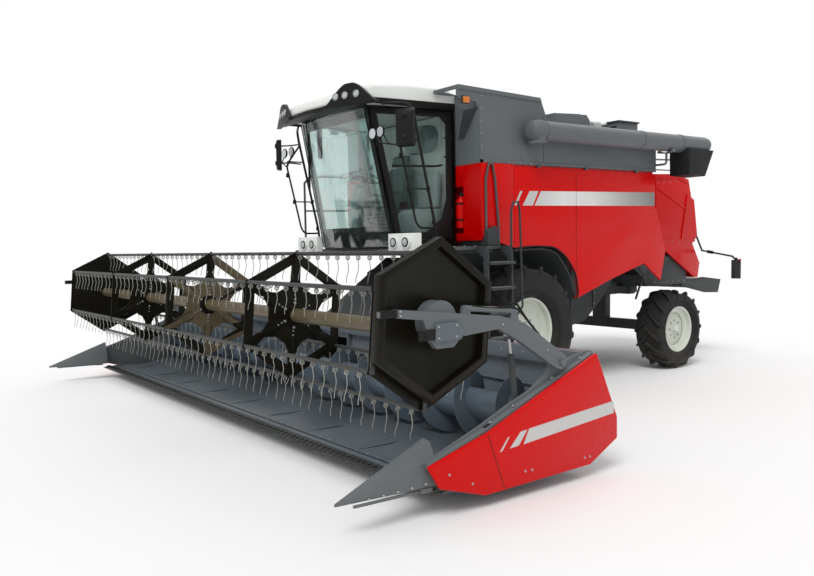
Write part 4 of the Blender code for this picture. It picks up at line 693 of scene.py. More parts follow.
DECK_RAILS = ((0.014, 0.08, ((2.80, 2.93), (2.82, 3.19), (3.30, 3.21), (4.05, 3.23), (4.13, 3.19),
              (4.16, 2.88))), (0.010, 0, ((2.81, 3.06), (4.145, 3.06))),
              (0.012, 0, ((3.45, 2.95), (3.45, 3.22))))
shape = bmesh.new()
for sign in (-1, 1):
    for r, bend, path in DECK_RAILS:
        tube(shape, [(sign * 0.8, y, z) for y, z in path], r, bend=bend)
    side_bar(shape, sign, (0.76, 0.84), (2.78, 2.84), (2.945, 2.962))
built("deck_rail", shape, grey_coat)

# Unloading auger
# A grey steel tube that swings out from the turret on the tank's side, with clamp bands where its sections
# bolt together, a rounded end, and a black rubber spout that hangs under the end. A forked rest holds it
# when folded.
TUBE_X, TUBE_Y, TUBE_Z, TUBE_R, TUBE_END, BAND_R = 1.53, 0.02, 3.345, 0.125, 3.06, 0.131
shape = bmesh.new()
spindle(shape, (TUBE_X, -0.125, TUBE_Z), (TUBE_X, TUBE_END - 0.001, TUBE_Z),
        ((0, 0.03), (0.002, 0.085), (0.008, 0.112), (0.018, TUBE_R), (0.070, TUBE_R), (0.0701, BAND_R),
        (0.075, BAND_R), (0.0751, TUBE_R), (0.694, TUBE_R), (0.6941, BAND_R), (0.699, BAND_R),
        (0.6991, 0.127), (0.6992, BAND_R), (0.704, BAND_R), (0.7041, TUBE_R), (0.984, TUBE_R),
        (0.9841, BAND_R), (1, BAND_R), (1, 0.10)), 48)
spindle(shape, (TUBE_X, TUBE_Y, TUBE_Z - 0.160), (TUBE_X, TUBE_Y, TUBE_Z + 0.130),
        ((0, 0.08), (0, 0.118), (0.10, 0.118), (0.12, 0.105), (0.84, 0.105), (0.94, 0.085), (1, 0.04)), 36)
spindle(shape, (TUBE_X, TUBE_END - 0.002, TUBE_Z), (TUBE_X, 3.755, TUBE_Z),
        ((0, 0.10), (0.0, TUBE_R), (0.86, TUBE_R), (0.93, 0.116), (0.975, 0.092), (0.995, 0.055), (1, 0.02)),
        48)
built("auger_tube", shape, grey_coat, "unloading_auger", ("unloading_tube",))
spout_rubber = coated("spout_rubber", linear(30, 31, 32), 0.62, "black_paint", dust=0.12)
rolled("unloading_spout", spout_rubber, "unloading_auger", roll=0.012, steps=3,
       carve=[((1.30, 1.80), (3.00, 3.80), (3.262, 3.60))])
shape = bmesh.new()
for sign in (-1, 1):
    plate(shape, [(3.085, 2.90), (3.12, 2.90), (3.12, 3.26), (3.085, 3.26)], "x",
          *sorted((TUBE_X + sign * 0.148, TUBE_X + sign * 0.156)))
built("spout_clamps", shape, black_coat, "unloading_auger", roll=0.002)
shape = bmesh.new()
tube(shape, [(1.15, 2.73, 3.0), (1.32, 2.75, 3.04), (1.53, 2.75, 3.04), (1.53, 2.75, 3.206)], 0.016,
     bend=0.04)
plate(shape, [(1.40, 3.205), (1.42, 3.245), (1.47, 3.215), (1.53, 3.205), (1.59, 3.215), (1.64, 3.245),
      (1.66, 3.205), (1.53, 3.185)], "y", 2.72, 2.78)
built("tube_rest", shape, grey_coat, roll=0.002)

# Cab roof
# A moulded off-white fibreglass lid with a black lip under its front edge, a black strip along each side,
# and a bell-shaped hood with three work lamps at each front corner.
clear_lens = lens("clear_lens", linear(205, 212, 212))
white_coat = coated("white_coat", linear(232, 235, 230), 0.30, "off_white_paint", coat=0.25, dust=0.03)
rolled("cab_roof", white_coat, roll=0.045, steps=5, corner=50, smooth=60)
LIP_CUTS = ((0.30, 1.10, (-2.50, -2.10), (3.6395, 3.95)), (0.934, 1.70, (-2.40, -1.90), (3.00, 3.75)))
rolled("roof_lamp_panel", black_coat, roll=0.006, steps=2,
       carve=[(sorted((sign * x0, sign * x1)), y, z) for sign in (-1, 1) for x0, x1, y, z in LIP_CUTS])
BELL_LEFT, BELL_TOP, BELL_WIDE, BELL_STEPS, LAMP_Z = -0.36, 0.045, 0.79, 28, 3.722
LAMP_GLASS = ((0, 0.034), (0.5, 0.034), (1, 0.026))
LAMP_RING = ((0, 0.042), (0.9, 0.042), (1, 0.040), (1, 0.036), (0.4, 0.035), (0.4, 0.02))
shape, frames, hoods = bmesh.new(), bmesh.new(), bmesh.new()
for sign in (-1, 1):
    turn = Matrix.Translation((sign * 0.70, -2.236, 0)) @ Matrix.Rotation(math.radians(19 * sign), 4, "Z")
    bell = [(BELL_LEFT + BELL_WIDE * k / BELL_STEPS, 3.598) for k in (0, BELL_STEPS)]
    for k in range(BELL_STEPS, -1, -1):
        x = BELL_LEFT + BELL_WIDE * k / BELL_STEPS
        rise = 0.5 + 0.5 * math.cos(math.pi * (x - BELL_TOP) / (0.405 if x < BELL_TOP else 0.385))
        bell.append((x, 3.612 + 0.252 * rise ** 0.75))
    shell(hoods, [[turn @ Vector((sign * x, y, z if y > -0.05 else min(z, 3.855))) for x, z in bell]
                  for y in (-0.002, -0.052, -0.060)])
    for x in (-0.150, -0.016, 0.145):
        for part, y0, y1, stations in ((shape, -0.058, -0.074, LAMP_GLASS),
                (frames, -0.055, -0.070, LAMP_RING)):
            start, stop = [turn @ Vector((sign * x, y, LAMP_Z)) for y in (y0, y1)]
            spindle(part, start, stop, stations, 24)
    side_plate(hoods, sign, [(-2.118, 3.618), (-0.736, 3.618), (-0.736, 3.705), (-0.80, 3.708),
               (-1.90, 3.690), (-2.118, 3.684)], 0.926, 0.937)
built("roof_lamp_glasses", shape, clear_lens)
built("roof_lamp_rims", frames, zinc)
built("roof_lamp_hoods", hoods, black_coat, roll=0.003)
shape = bmesh.new()
spindle(shape, (0.35, -1.2, 3.878), (0.35, -1.2, 3.885), ((0, 0.09), (1, 0.085)), 24)
plate(shape, [(-0.30, -1.75), (0.30, -1.75), (0.30, -1.45), (-0.30, -1.45)], "z", 3.872, 3.884)
built("roof_hatch", shape, white_coat, roll=0.002)

# Cab glass
# Clear safety glass with a pale green cast, bonded in black gaskets: the bowed windscreen, the door's pane
# and the right side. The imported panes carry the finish; the black fascia under the windscreen and its side
# edges are made here too.
glass, tree, shader = blank("cab_glass_pale", "cab_glass")
haze = pattern(tree, "Noise", Scale=1.6, Detail=3.0)
tone = node(tree, "ShaderNodeMix", data_type="RGBA")
tone.inputs["A"].default_value, tone.inputs["B"].default_value = linear(168, 250, 236), linear(176, 251, 238)
wire(tree, haze.outputs["Fac"], tone.inputs["Factor"])
wire(tree, tone.outputs["Result"], shader.inputs["Base Color"])
shader.inputs["Roughness"].default_value = 0.02
shader.inputs["Transmission Weight"].default_value = 1.0
shader.inputs["Alpha"].default_value = 0.34
door_pane = glass.copy()
door_pane.name = "door_glass_clear"
door_pane.node_tree.nodes["Principled BSDF"].inputs["Alpha"].default_value = 0.16
for name, pane in (("cab_windows", glass), ("door_glass", door_pane)):
    slots = NODES[name].data.materials
    slots.clear()
    slots.append(pane)
SCREEN_FOOT, SCREEN_HEAD = 1.965, 3.605
screen_edge = {}
for v in NODES["cab_windows"].data.vertices:
    x, y, z = v.co
    if x > -0.0001 and not 1.97 < z < SCREEN_HEAD:
        for key in ((z > 3, round(x, 4)), (z > 3, round(-x, 4))):
            screen_edge[key] = max(screen_edge.get(key, -9), y - AXLE_Y)
low, high = [sorted((x, y) for (top, x), y in screen_edge.items() if top == end) for end in (False, True)]


def up_screen(ends, start, stop, out, thick):
    """A strip's section on the windscreen, between two shares of its height, out from the pane by out."""
    (x0, y0), (x1, y1) = ends
    return [(x0 + share * (x1 - x0), y0 + share * (y1 - y0) + out + back,
             SCREEN_FOOT + share * (SCREEN_HEAD - SCREEN_FOOT))
            for share, back in ((start, 0), (stop, 0), (stop, thick), (start, thick))]


shape = bmesh.new()
rims = list(zip(low, high))
shell(shape, [up_screen(ends, 0.0, 0.150, 0.008, 0.012) for ends in rims])
for first, second in ((rims[0], rims[1]), (rims[-1], rims[-2])):
    inner = tuple((p[0] + 0.16 * (q[0] - p[0]), p[1] + 0.16 * (q[1] - p[1])) for p, q in zip(first, second))
    shell(shape, [[up_screen(ends, t, t, -0.018, 0.006)[k]
          for ends, k in ((first, 0), (inner, 0), (inner, 2), (first, 2))] for t in (0.0, 0.5, 1.0)])
built("screen_fascia", shape, rubber_trim)

# Cab frame
# The welded safety frame, floor and rear wall in satin black. Inside are a pale grey moulded liner on the
# whole rear wall and under the roof, with two ceiling vents, and a small oval window behind the driver.
rolled("cab_frame", black_coat, roll=0.008, steps=3)
liner = coated("cab_liner", linear(176, 180, 178), 0.6, "black_paint", dust=0.0, peel=0.0012, peel_scale=420)
shape = bmesh.new()
bar(shape, (-0.80, 0.80), (-0.818, -0.812), (2.06, 3.60))
plate(shape, [(-0.70, -1.86), (-0.35, -1.98), (0.35, -1.98), (0.70, -1.86), (0.80, -0.83), (-0.80, -0.83)],
      "z", 3.60, 3.632)
plate(shape, [(-0.42, -1.95), (0.42, -1.95), (0.50, -1.55), (-0.50, -1.55)], "z", 3.565, 3.602)
for x in (-0.25, 0.25):
    spindle(shape, (x, -1.70, 3.568), (x, -1.70, 3.556), ((0, 0.05), (1, 0.04)), 16)
built("cab_liners", shape, liner, roll=0.006)
shape = bmesh.new()


def squared(value):
    """Widens an oval towards a rectangle."""
    return math.copysign(abs(value) ** 0.7, value)


oval = [(0.335 + 0.315 * squared(math.cos(a)), 3.335 + 0.185 * squared(math.sin(a))) for a in angles(40)]
plate(shape, oval, "y", -0.832, -0.819)
built("rear_window", shape, lens("dark_pane", linear(52, 60, 62)), roll=0.004)

# Controls
# Grey moulded side console with its lever and armrest to the right of the driver, a small trainer's seat to
# the left, pedals on a black mat, the column's cowl and the wheel. They turn with nothing, so they ride the
# cab.
moulded = coated("moulded_grey", linear(132, 140, 139), 0.55, "seat_cloth", dust=0.0, peel=0.001,
                 peel_scale=500)
moulded_black = coated("moulded_black", linear(28, 29, 30), 0.5, "seat_cloth", dust=0.0, peel=0.001,
                       peel_scale=500)
shape = bmesh.new()
plate(shape, [(-1.28, 2.022), (-1.26, 2.52), (-1.20, 2.62), (-0.95, 2.64), (-0.86, 2.60), (-0.86, 2.022)],
      "x", -0.50, -0.34)
plate(shape, [(-1.30, 2.022), (-1.32, 2.36), (-1.25, 2.42), (-0.90, 2.42), (-0.86, 2.022)], "x", 0.42, 0.78)
plate(shape, [(-1.74, 2.022), (-1.70, 2.50), (-1.60, 2.78), (-1.52, 2.80), (-1.54, 2.50), (-1.55, 2.022)],
      "x", -0.085, 0.085)
plate(shape, [(-0.99, 2.44), (-0.90, 2.44), (-0.87, 2.86), (-0.94, 2.90)], "x", 0.44, 0.76)
built("console", shape, moulded, roll=0.014, steps=3)
shape = bmesh.new()
bar(shape, (-0.62, 0.62), (-1.60, -0.90), (2.021, 2.030))
for x in (0.16, 0.26, -0.22):
    plate(shape, [(-1.72, 2.06), (-1.66, 2.19), (-1.645, 2.185), (-1.70, 2.05)], "x", x - 0.035, x + 0.035)
tube(shape, [(-0.42, -1.18, 2.60), (-0.42, -1.19, 2.73)], 0.012, bend=0)
spindle(shape, (-0.42, -1.19, 2.72), (-0.42, -1.215, 2.82),
        ((0, 0.018), (0.3, 0.034), (0.8, 0.034), (1, 0.015)), 14)
plate(shape, [(-1.20, 2.645), (-1.17, 2.69), (-0.90, 2.69), (-0.88, 2.645)], "x", -0.48, -0.42)
spindle(shape, (0.14, -1.50, 2.95), (0.14, -1.50, 3.01), ((0, 0.015), (0.3, 0.024), (0.8, 0.024), (1, 0.01)),
        12)
built("controls", shape, moulded_black, roll=0.005)
shape = bmesh.new()
WHEEL_R, WHEEL_RIM = 0.20, 0.0155
tilt = Vector((0, 0, 1)).rotation_difference(Vector((0, 0.12, 0.34))).to_matrix().to_4x4()
turn = Matrix.Translation((0, -1.50, 2.86)) @ tilt


def on_wheel(r, a, z=0.0):
    """A place on the tilted steering wheel, from its middle."""
    return turn @ Vector((r * math.cos(a), r * math.sin(a), z))


shell(shape, [[on_wheel(WHEEL_R + WHEEL_RIM * math.cos(b), a, WHEEL_RIM * math.sin(b)) for b in angles(10)]
              for a in angles(40)], closed=True)
for a in (math.radians(90), math.radians(210), math.radians(330)):
    rod(shape, on_wheel(0.03, a), on_wheel(0.195, a), 0.013, 10)
spindle(shape, on_wheel(0, 0, -0.02), on_wheel(0, 0, 0.03),
        ((0, 0.05), (0.5, 0.056), (0.9, 0.045), (1, 0.02)), 20)
built("steering_wheel", shape, moulded_black)

# Driver's seat
# A sprung base with folded bellows, and a cushion, a backrest and a headrest of foam under woven cloth.
cloth, tree, shader = blank("seat_fabric", "seat_cloth")
warp = pattern(tree, "Wave", Scale=90.0, Distortion=1.2)
weft = pattern(tree, "Wave", Scale=90.0, Distortion=1.2, bands_direction="Z")
weave = node(tree, "ShaderNodeMath", operation="MULTIPLY")
tone = node(tree, "ShaderNodeMix", data_type="RGBA")
tone.inputs["A"].default_value, tone.inputs["B"].default_value = linear(26, 30, 30), linear(58, 64, 64)
wire(tree, warp.outputs["Fac"], weave.inputs[0])
wire(tree, weft.outputs["Fac"], weave.inputs[1])
wire(tree, weave.outputs[0], tone.inputs["Factor"])
wire(tree, tone.outputs["Result"], shader.inputs["Base Color"])
bumped(tree, shader, weave.outputs[0], 0.7, 0.0015)
shader.inputs["Roughness"].default_value = 0.9
shader.inputs["Sheen Weight"].default_value = 0.3


def pad(name, outline, half, crown, channels, stands_for=()):
    """A crowned cushion on a side outline: its faces swell and draw in at the sewn channels."""
    outline = [Vector(p) for p in outline]
    around = []
    for a, b in zip(outline, outline[1:] + outline[:1]):
        around += [a.lerp(b, k / 6) for k in range(6)]
    middle = sum(around, Vector((0, 0))) / len(around)
    shape = bmesh.new()
    rings = []
    for k in range(21):
        t = 2 * k / 20 - 1
        pull = (1 - abs(t) ** 5) ** 0.5 if abs(t) < 1 else 0.0
        sewn = sum(math.exp(-((t * half - c) / 0.012) ** 2) for c in channels)
        ring = []
        for p in around:
            out = p - middle
            swell = crown * (1 - t * t) - 0.010 * sewn
            scale = 0.86 + 0.14 * pull + swell / max(out.length, 0.05)
            ring.append((half * t, *(middle + out * scale)))
        rings.append(ring)
    shell(shape, rings)
    piece = built(name, shape, cloth, stands_for=stands_for, roll=0.012, steps=3, corner=40, smooth=60)
    return piece


pad("seat_cushion", [(-1.48, 2.36), (-1.47, 2.46), (-1.40, 2.49), (-0.95, 2.475), (-0.93, 2.36)], 0.25, 0.012,
    (-0.15, 0.15), ("seat",))
pad("seat_back", [(-1.01, 2.47), (-0.895, 2.47), (-0.855, 2.98), (-0.93, 3.00)], 0.24, 0.008, (-0.14, 0.14))
pad("head_rest", [(-0.955, 3.02), (-0.87, 3.02), (-0.855, 3.15), (-0.925, 3.16)], 0.14, 0.006, ())
shape = bmesh.new()
rings = []
for k in range(9):
    inset = 0.0 if k % 2 else 0.022
    z = 2.032 + 0.29 * k / 8
    front, back, wide = -1.31 + inset, -0.96 - inset, 0.22 - inset
    rings.append([(x, y, z) for x, y in ((-wide, front), (wide, front), (wide, back), (-wide, back))])
shell(shape, rings)
bar(shape, (-0.235, 0.235), (-1.40, -0.94), (2.322, 2.350))
built("seat_base", shape, moulded_black, roll=0.003)

# Cab door
# One curved-corner black frame on the left with its glass, lifted by a grab bar across the inside and
# closed by a lever handle; two capped hinges carry it at the rear post.
rolled("cab_door", black_coat, "cab_door", roll=0.006, steps=3)


def wall_x(y):
    """The outside of the cab's side at this distance behind the axle."""
    return 0.90 + 0.153 * (y + 0.78)


GRAB_BAR = (0.013, 0.05, ((0.045, -1.70, 2.93), (0.075, -1.66, 2.925), (0.075, -1.10, 2.93),
            (0.045, -1.0, 2.95)))
LEVER = (0.011, 0.03, ((0.03, -0.95, 3.05), (0.065, -0.95, 3.05), (0.065, -0.95, 3.28), (0.03, -0.95, 3.28)))
shape = bmesh.new()
for r, bend, path in (GRAB_BAR, LEVER):
    tube(shape, [(wall_x(y) + out, y, z) for out, y, z in path], r, bend=bend)
bar(shape, (wall_x(-1.55) + 0.036, wall_x(-1.55) + 0.052), (-1.60, -1.50), (2.42, 2.50))
built("door_handles", shape, black_coat, "cab_door", roll=0.002)

# Grab frames and mirrors
# Bent black tube at each front corner of the cab: a tall frame that stands on the deck, its arm to the
# roof, a large flat mirror turned inwards, and two small round ones by the windscreen on thin arms.
FRAME_X = 1.25
mirror_face = metal("mirror_silver", linear(205, 212, 215), 0.06, 0.15)
backs, silver = bmesh.new(), bmesh.new()
shape = bmesh.new()
for sign in (-1, 1):
    def out(x, y, z):
        """A place on this side of the machine."""
        return sign * x, y, z
    tube(shape, [out(FRAME_X, -1.42, 1.945), out(FRAME_X, -1.42, 2.17), out(FRAME_X, -1.735, 3.50),
                 out(1.20, -1.78, 3.60), out(0.92, -1.93, 3.625)], 0.0165, bend=0.07)
    for r, bend, path in (
            (0.013, 0.06, ((-1.42, 2.17), (-1.66, 2.17), (-1.72, 2.24), (-1.94, 3.13), (-1.71, 3.42))),
            (0.009, 0, ((-1.525, 2.62), (-1.815, 2.62))), (0.009, 0, ((-1.66, 3.18), (-1.93, 3.18)))):
        tube(shape, [out(FRAME_X, y, z) for y, z in path], r, bend=bend)
    for y, z in ((-1.93, 2.99), (-1.83, 2.62), (-1.53, 2.62), (-1.45, 2.24)):
        spindle(shape, out(FRAME_X, y, z - 0.03), out(FRAME_X, y + 0.01, z + 0.03),
                ((0, 0.016), (0.1, 0.023), (0.9, 0.023), (1, 0.016)), 12)
    for y, z in ((-2.10, 3.255), (-1.99, 3.285)):
        tube(shape, [out(FRAME_X, -1.93, 3.10), out(1.10, y, 3.14), out(1.00, y, z)], 0.008, bend=0.03,
             sides=8)
        spindle(backs, out(0.995, y - 0.03, z), out(0.995, y + 0.015, z),
                ((0, 0.062), (0.3, 0.066), (0.7, 0.052), (1, 0.02)), 24)
        spindle(silver, out(0.995, y - 0.032, z), out(0.995, y - 0.030, z),
                ((0, 0.045), (0, 0.057), (1, 0.057)), 24)
    turn = Matrix.Translation(out(1.39, -1.97, 3.28)) @ Matrix.Rotation(math.radians(30 * sign), 4, "Z")
    for z in (-0.11, 0.13):
        tube(shape, [out(FRAME_X, -1.70, 3.28 + 1.15 * z), out(1.30, -1.86, 3.28 + z),
             turn @ Vector((0, 0.02, z))], 0.010, bend=0.03)
        spindle(backs, turn @ Vector((0, -0.062, z)), turn @ Vector((0, -0.030, z)),
                ((0, 0.02), (0.3, 0.034), (1, 0.034)), 16)
    case = ((-0.105, -0.19), (-0.085, -0.21), (0.085, -0.21), (0.105, -0.19),
            (0.105, 0.19), (0.085, 0.21), (-0.085, 0.21), (-0.105, 0.19))
    shell(backs, [[turn @ Vector((x * s, y, z * s)) for x, z in case]
          for y, s in ((-0.045, 0.86), (-0.030, 0.97), (0.020, 1.0), (0.030, 1.0))])
    shell(silver, [[turn @ Vector((x * 0.92, y, z * 0.95)) for x, z in case] for y in (0.0305, 0.033)])
built("grab_frames", shape, black_coat)
built("mirror_backs", backs, black_coat)
built("mirror_glasses", silver, mirror_face)

# Wipers and sun blind
# A pantograph wiper parked at the right of the windscreen, a roller blind drawn down a little at its head,
# and a small black visor plate behind the pane.
shape = bmesh.new()
tube(shape, [(-0.42, -2.125, 3.60), (-0.44, -2.05, 3.02)], 0.009, bend=0, sides=8)
tube(shape, [(-0.36, -2.13, 3.60), (-0.40, -2.055, 3.02)], 0.006, bend=0, sides=8)
plate(shape, [(-0.455, 3.44), (-0.425, 3.44), (-0.425, 2.74), (-0.455, 2.74)], "y", -2.088, -2.072)
spindle(shape, (-0.42, -2.15, 3.605), (-0.42, -2.09, 3.605), ((0, 0.024), (1, 0.024)), 12)
bar(shape, (-0.62, 0.62), (-1.965, -1.95), (3.50, 3.60))
plate(shape, [(-0.640, 3.60), (-0.535, 3.60), (-0.535, 3.20), (-0.555, 3.15), (-0.600, 3.15), (-0.625, 3.20)],
      "y", -1.82, -1.80)
built("wiper", shape, rubber_trim, roll=0.002)

# Platform, work lamps and rails
# The chequer-plate deck round the cab in dark grey, white lamp housings at its front, boxes on it, the red
# extinguisher in a niche in the bulkhead's corner, and the amber marker lamps on struts under the overhang,
# beside a dark bracket plate on the tank's front whose colour also paints the shade that falls there.
deck_steel, tree, shader = blank("chequer_plate", "dark_grey_paint")
weather(tree, shader, linear(70, 74, 76), 0.22, 2.4, 0.38, 0.6)
raised = node(tree, "ShaderNodeValToRGB")
for stop, (spot, level) in zip(raised.color_ramp.elements, ((0.22, 1), (0.34, 0))):
    stop.position, stop.color = spot, (level, level, level, 1)
wire(tree, pattern(tree, "Voronoi", Scale=26.0, feature="F1").outputs["Distance"], raised.inputs["Fac"])
bumped(tree, shader, raised.outputs["Color"], 0.8, 0.004)


def on_lamp(x, y, z):
    """Whether a place lies on one of the two lamp housings at the deck's front."""
    return y < -1.672 and 0.78 < abs(x) < 1.29 and z > 1.90


rolled("platform", (deck_steel, white_coat), roll=0.005, steps=2, second=on_lamp)
glasses, frames = bmesh.new(), bmesh.new()
r = 0.044
for x in (-0.90, -1.12, 0.90, 1.12):
    spindle(glasses, (x, -1.779, 2.01), (x, -1.796, 2.01), ((0, r), (0.5, r * 0.96), (1, r * 0.6)), 24)
    spindle(frames, (x, -1.77, 2.01), (x, -1.79, 2.01),
            ((0, r + 0.012), (0.8, r + 0.012), (1, r + 0.006), (1, r), (0.4, r - 0.004), (0.4, 0.02)), 24)
built("deck_lamp_glasses", glasses, clear_lens)
built("deck_lamp_rims", frames, black_coat)
shape = bmesh.new()
bar(shape, (0.99, 1.30), (-0.76, -0.60), (1.945, 2.06))
plate(shape, [(-0.77, 1.945), (-0.77, 2.14), (-0.62, 2.18), (-0.60, 1.945)], "x", 1.31, 1.46)
for sign in (-1, 1):
    for x in ((0.62, 0.66), (1.28, 1.32)):
        side_bar(shape, sign, x, (-1.63, -0.56), (1.86, 1.899))
built("deck_boxes", shape, dark_coat, roll=0.006)
seams = line((1.0, -1.683, 1.88), (1.27, -1.683, 1.88), 3, (0, -1, 0))
seams += line((1.47, -1.5, 1.941), (1.47, -1.0, 1.941), 4, (0, 0, 1))
bolts("deck_bolts", mirrored(seams), zinc)
bottle, bands = bmesh.new(), bmesh.new()
bx, by = 0.985, -0.745
spindle(bottle, (bx, by, 2.16), (bx, by, 2.56), ((0, 0.05), (0.03, 0.070), (0.85, 0.070), (0.93, 0.055),
        (0.98, 0.032), (1, 0.028)), 32)
for z in (2.26, 2.46):
    spindle(bands, (bx, by, z), (bx, by, z + 0.022), ((0, 0.071), (0, 0.074), (1, 0.074), (1, 0.071)), 32)
spindle(bands, (bx, by, 2.55), (bx, by, 2.61), ((0, 0.028), (0.6, 0.03), (1, 0.018)), 16)
bar(bands, (bx - 0.03, bx + 0.03), (by + 0.060, by + 0.100), (2.22, 2.50))
tube(bands, [(bx, by, 2.60), (bx + 0.05, by, 2.63), (bx + 0.075, by, 2.60)], 0.008, bend=0.02)
tube(bands, [(bx + 0.02, by, 2.58), (bx + 0.065, by - 0.01, 2.56), (bx + 0.078, by - 0.01, 2.45),
     (bx + 0.076, by - 0.01, 2.30)], 0.008, bend=0.05)
built("extinguisher", bottle, red_lacquer)
built("extinguisher_fittings", bands, black_coat)
shape, ambers = bmesh.new(), bmesh.new()
for sign in (-1, 1):
    # The slanted plate lies flat on the tank's front face in dark grey: a bracket's wedge whose dark colour and
    # wide top also paint the shade under the overhang. The bars on the tank's sides back the marker lamps.
    plate(shape, [(sign * x, z) for x, z in ((1.10, 3.60), (1.33, 3.60), (1.10, 3.25), (1.00, 3.25))], "y",
          -0.8078, -0.8028)
    side_bar(shape, sign, (1.362, 1.374), (-1.10, -0.97), (3.618, 3.712))
    side_bar(ambers, sign, (1.374, 1.400), (-1.085, -0.985), (3.625, 3.700))
built("lamp_bracket", shape, dark_coat, roll=0.003)
built("marker_lamps", ambers, amber_lens, roll=0.022, steps=4)

# Ladder
# Hung on the deck's edge: two folded stringers with slotted open treads and a looped handrail.
rolled("ladder", dark_coat, roll=0.003, steps=2)
LADDER_X = 1.60
treads = []
for k in range(5):
    z = 0.5505 + 0.30 * k
    treads += [(LADDER_X + 0.015, -0.92 + 0.034 * j, z) for j in range(11)]
grown("ladder_teeth", treads, SLATS, zinc, "machine", Width=0.145, Depth=0.010, Thickness=0.006, Tilt=0.0)

# Body and wheel arches
# The threshing body's dark folded sheets between the panels, with bolted seams, belts' guards under it and
# the rolled arches over the drive wheels.
rolled("separator_body", dark_coat, roll=0.006, steps=2)
BELLY_X, BELLY_SEAM_X = 0.842, 0.856
shape = bmesh.new()
for sign in (-1, 1):
    for rib in ([(1.02, 0.90), (1.05, 0.90), (1.05, 1.86), (1.02, 1.86)],
                [(1.50, 0.80), (1.53, 0.80), (1.53, 1.86), (1.50, 1.86)],
                [(2.0, 0.98), (2.03, 0.99), (2.03, 1.86), (2.0, 1.86)],
                [(0.97, 1.05), (2.45, 1.38), (2.45, 1.41), (0.97, 1.08)]):
        side_plate(shape, sign, rib, BELLY_X - 0.006, BELLY_X + 0.012)
    side_plate(shape, sign, [(2.59, 1.62), (2.99, 1.35), (3.06, 1.60), (2.80, 1.86)], 1.02, 1.04)
    tube(shape, [(sign * 1.10, 2.85, 1.42), (sign * 1.10, 2.67, 1.08)], 0.016, bend=0)
    tube(shape, [(sign * 0.83, 2.60, 1.60), (sign * 1.12, 2.62, 1.60), (sign * 1.12, 2.86, 1.44)], 0.018,
         bend=0.03)
built("body_ribs", shape, dark_coat, roll=0.002)
seams = []
for y, z in ((1.035, 0.96), (2.015, 1.05)):
    seams += line((BELLY_SEAM_X, y, z), (BELLY_SEAM_X, y, 1.80), 6, (1, 0, 0))
bolts("belly_bolts", mirrored(seams), zinc)

# Straw chopper, spreader and engine
# The chopper's bolted steel box with the spreader's row of fins behind it on one rod, and the engine as a
# plain cast block, closed in under the grain tank's deck.
CHOPPER_X = 0.962
rolled("straw_chopper", dark_coat, roll=0.004, steps=2)
shape = bmesh.new()
for k in range(9):
    x = -0.80 + 0.20 * k
    plate(shape, [(4.15, 1.262), (4.70, 1.285), (5.20, 1.228), (5.16, 1.10), (4.80, 1.13), (4.30, 1.20)], "x",
          x - 0.003, x + 0.003)
rod(shape, (-0.94, 4.72, 1.22), (0.94, 4.72, 1.22), 0.012)
built("spreader_fins", shape, dark_coat)
seams = []
for z in (1.65, 1.29):
    seams += line((CHOPPER_X, 3.35, z), (CHOPPER_X, 4.15, z), 6, (1, 0, 0))
bolts("chopper_bolts", mirrored(seams), zinc)
cast_grey = coated("cast_engine_grey", linear(84, 86, 86), 0.6, "engine_paint", dust=0.2, peel=0.003,
                   peel_scale=120)
rolled("engine", cast_grey, roll=0.02, steps=3)

# Axles
# A welded box and two final drives in front, a steered beam behind; the rear knuckles turn on kingpins with
# grease caps.
REAR_Y, FRONT_TYRE_R, REAR_TYRE_R = 3.35, 0.845, 0.595
rolled("front_axle", dark_coat, roll=0.006, steps=2)
rolled("rear_axle", dark_coat, roll=0.006, steps=2)
for side, sign in SIDES:
    rolled("knuckle_" + side, dark_coat, "knuckle_" + side, roll=0.004, steps=2)
    drive_ring = [(Vector((sign * 0.832, 0.15 * math.sin(a), FRONT_TYRE_R + 0.15 * math.cos(a))),
                  (sign, 0, 0)) for a in angles(10)]
    bolts("drive_bolts_" + side, drive_ring, zinc)
    shape = bmesh.new()
    tube(shape, [(sign * 0.10, REAR_Y + 0.11, 0.63), (sign * 0.78, REAR_Y + 0.10, 0.63)], 0.026, bend=0)
    rod(shape, (sign * 0.10, 3.46, 0.63), (sign * 0.40, 3.455, 0.63), 0.034)
    built("steer_cylinder_" + side, shape, dark_coat)

# Tyres and rims
# Tyres of black rubber with deep chevron bars that wrap on to the shoulder, and fine rings on the sidewall.
# Their beads sit on pale dished steel rims with a ring of wheel bolts and a hub cap.
rubber, tree, shader = blank("tyre_rubber_black", "tyre_rubber")
weather(tree, shader, linear(22, 22, 22), 0.12, 0.9, 0.78, 0.9)
bumped(tree, shader, pattern(tree, "Noise", Scale=160.0, Detail=6.0).outputs["Fac"], 0.5, 0.0015)
LUG_LEAN, LUG_HIGH = 0.92, 0.042


def about_axle(centre, x, r, a):
    """A place at this distance outwards from a wheel's centre, and this radius and angle about its axle."""
    return centre[0] + x, centre[1] - r * math.sin(a), centre[2] + r * math.cos(a)


def turned(shape, centre, sign, profile, steps):
    """A profile of (x outwards from the centre, radius), turned about a wheel's axle."""
    shell(shape, [[about_axle(centre, sign * x, r, a) for x, r in profile] for a in angles(steps)],
          closed=True)


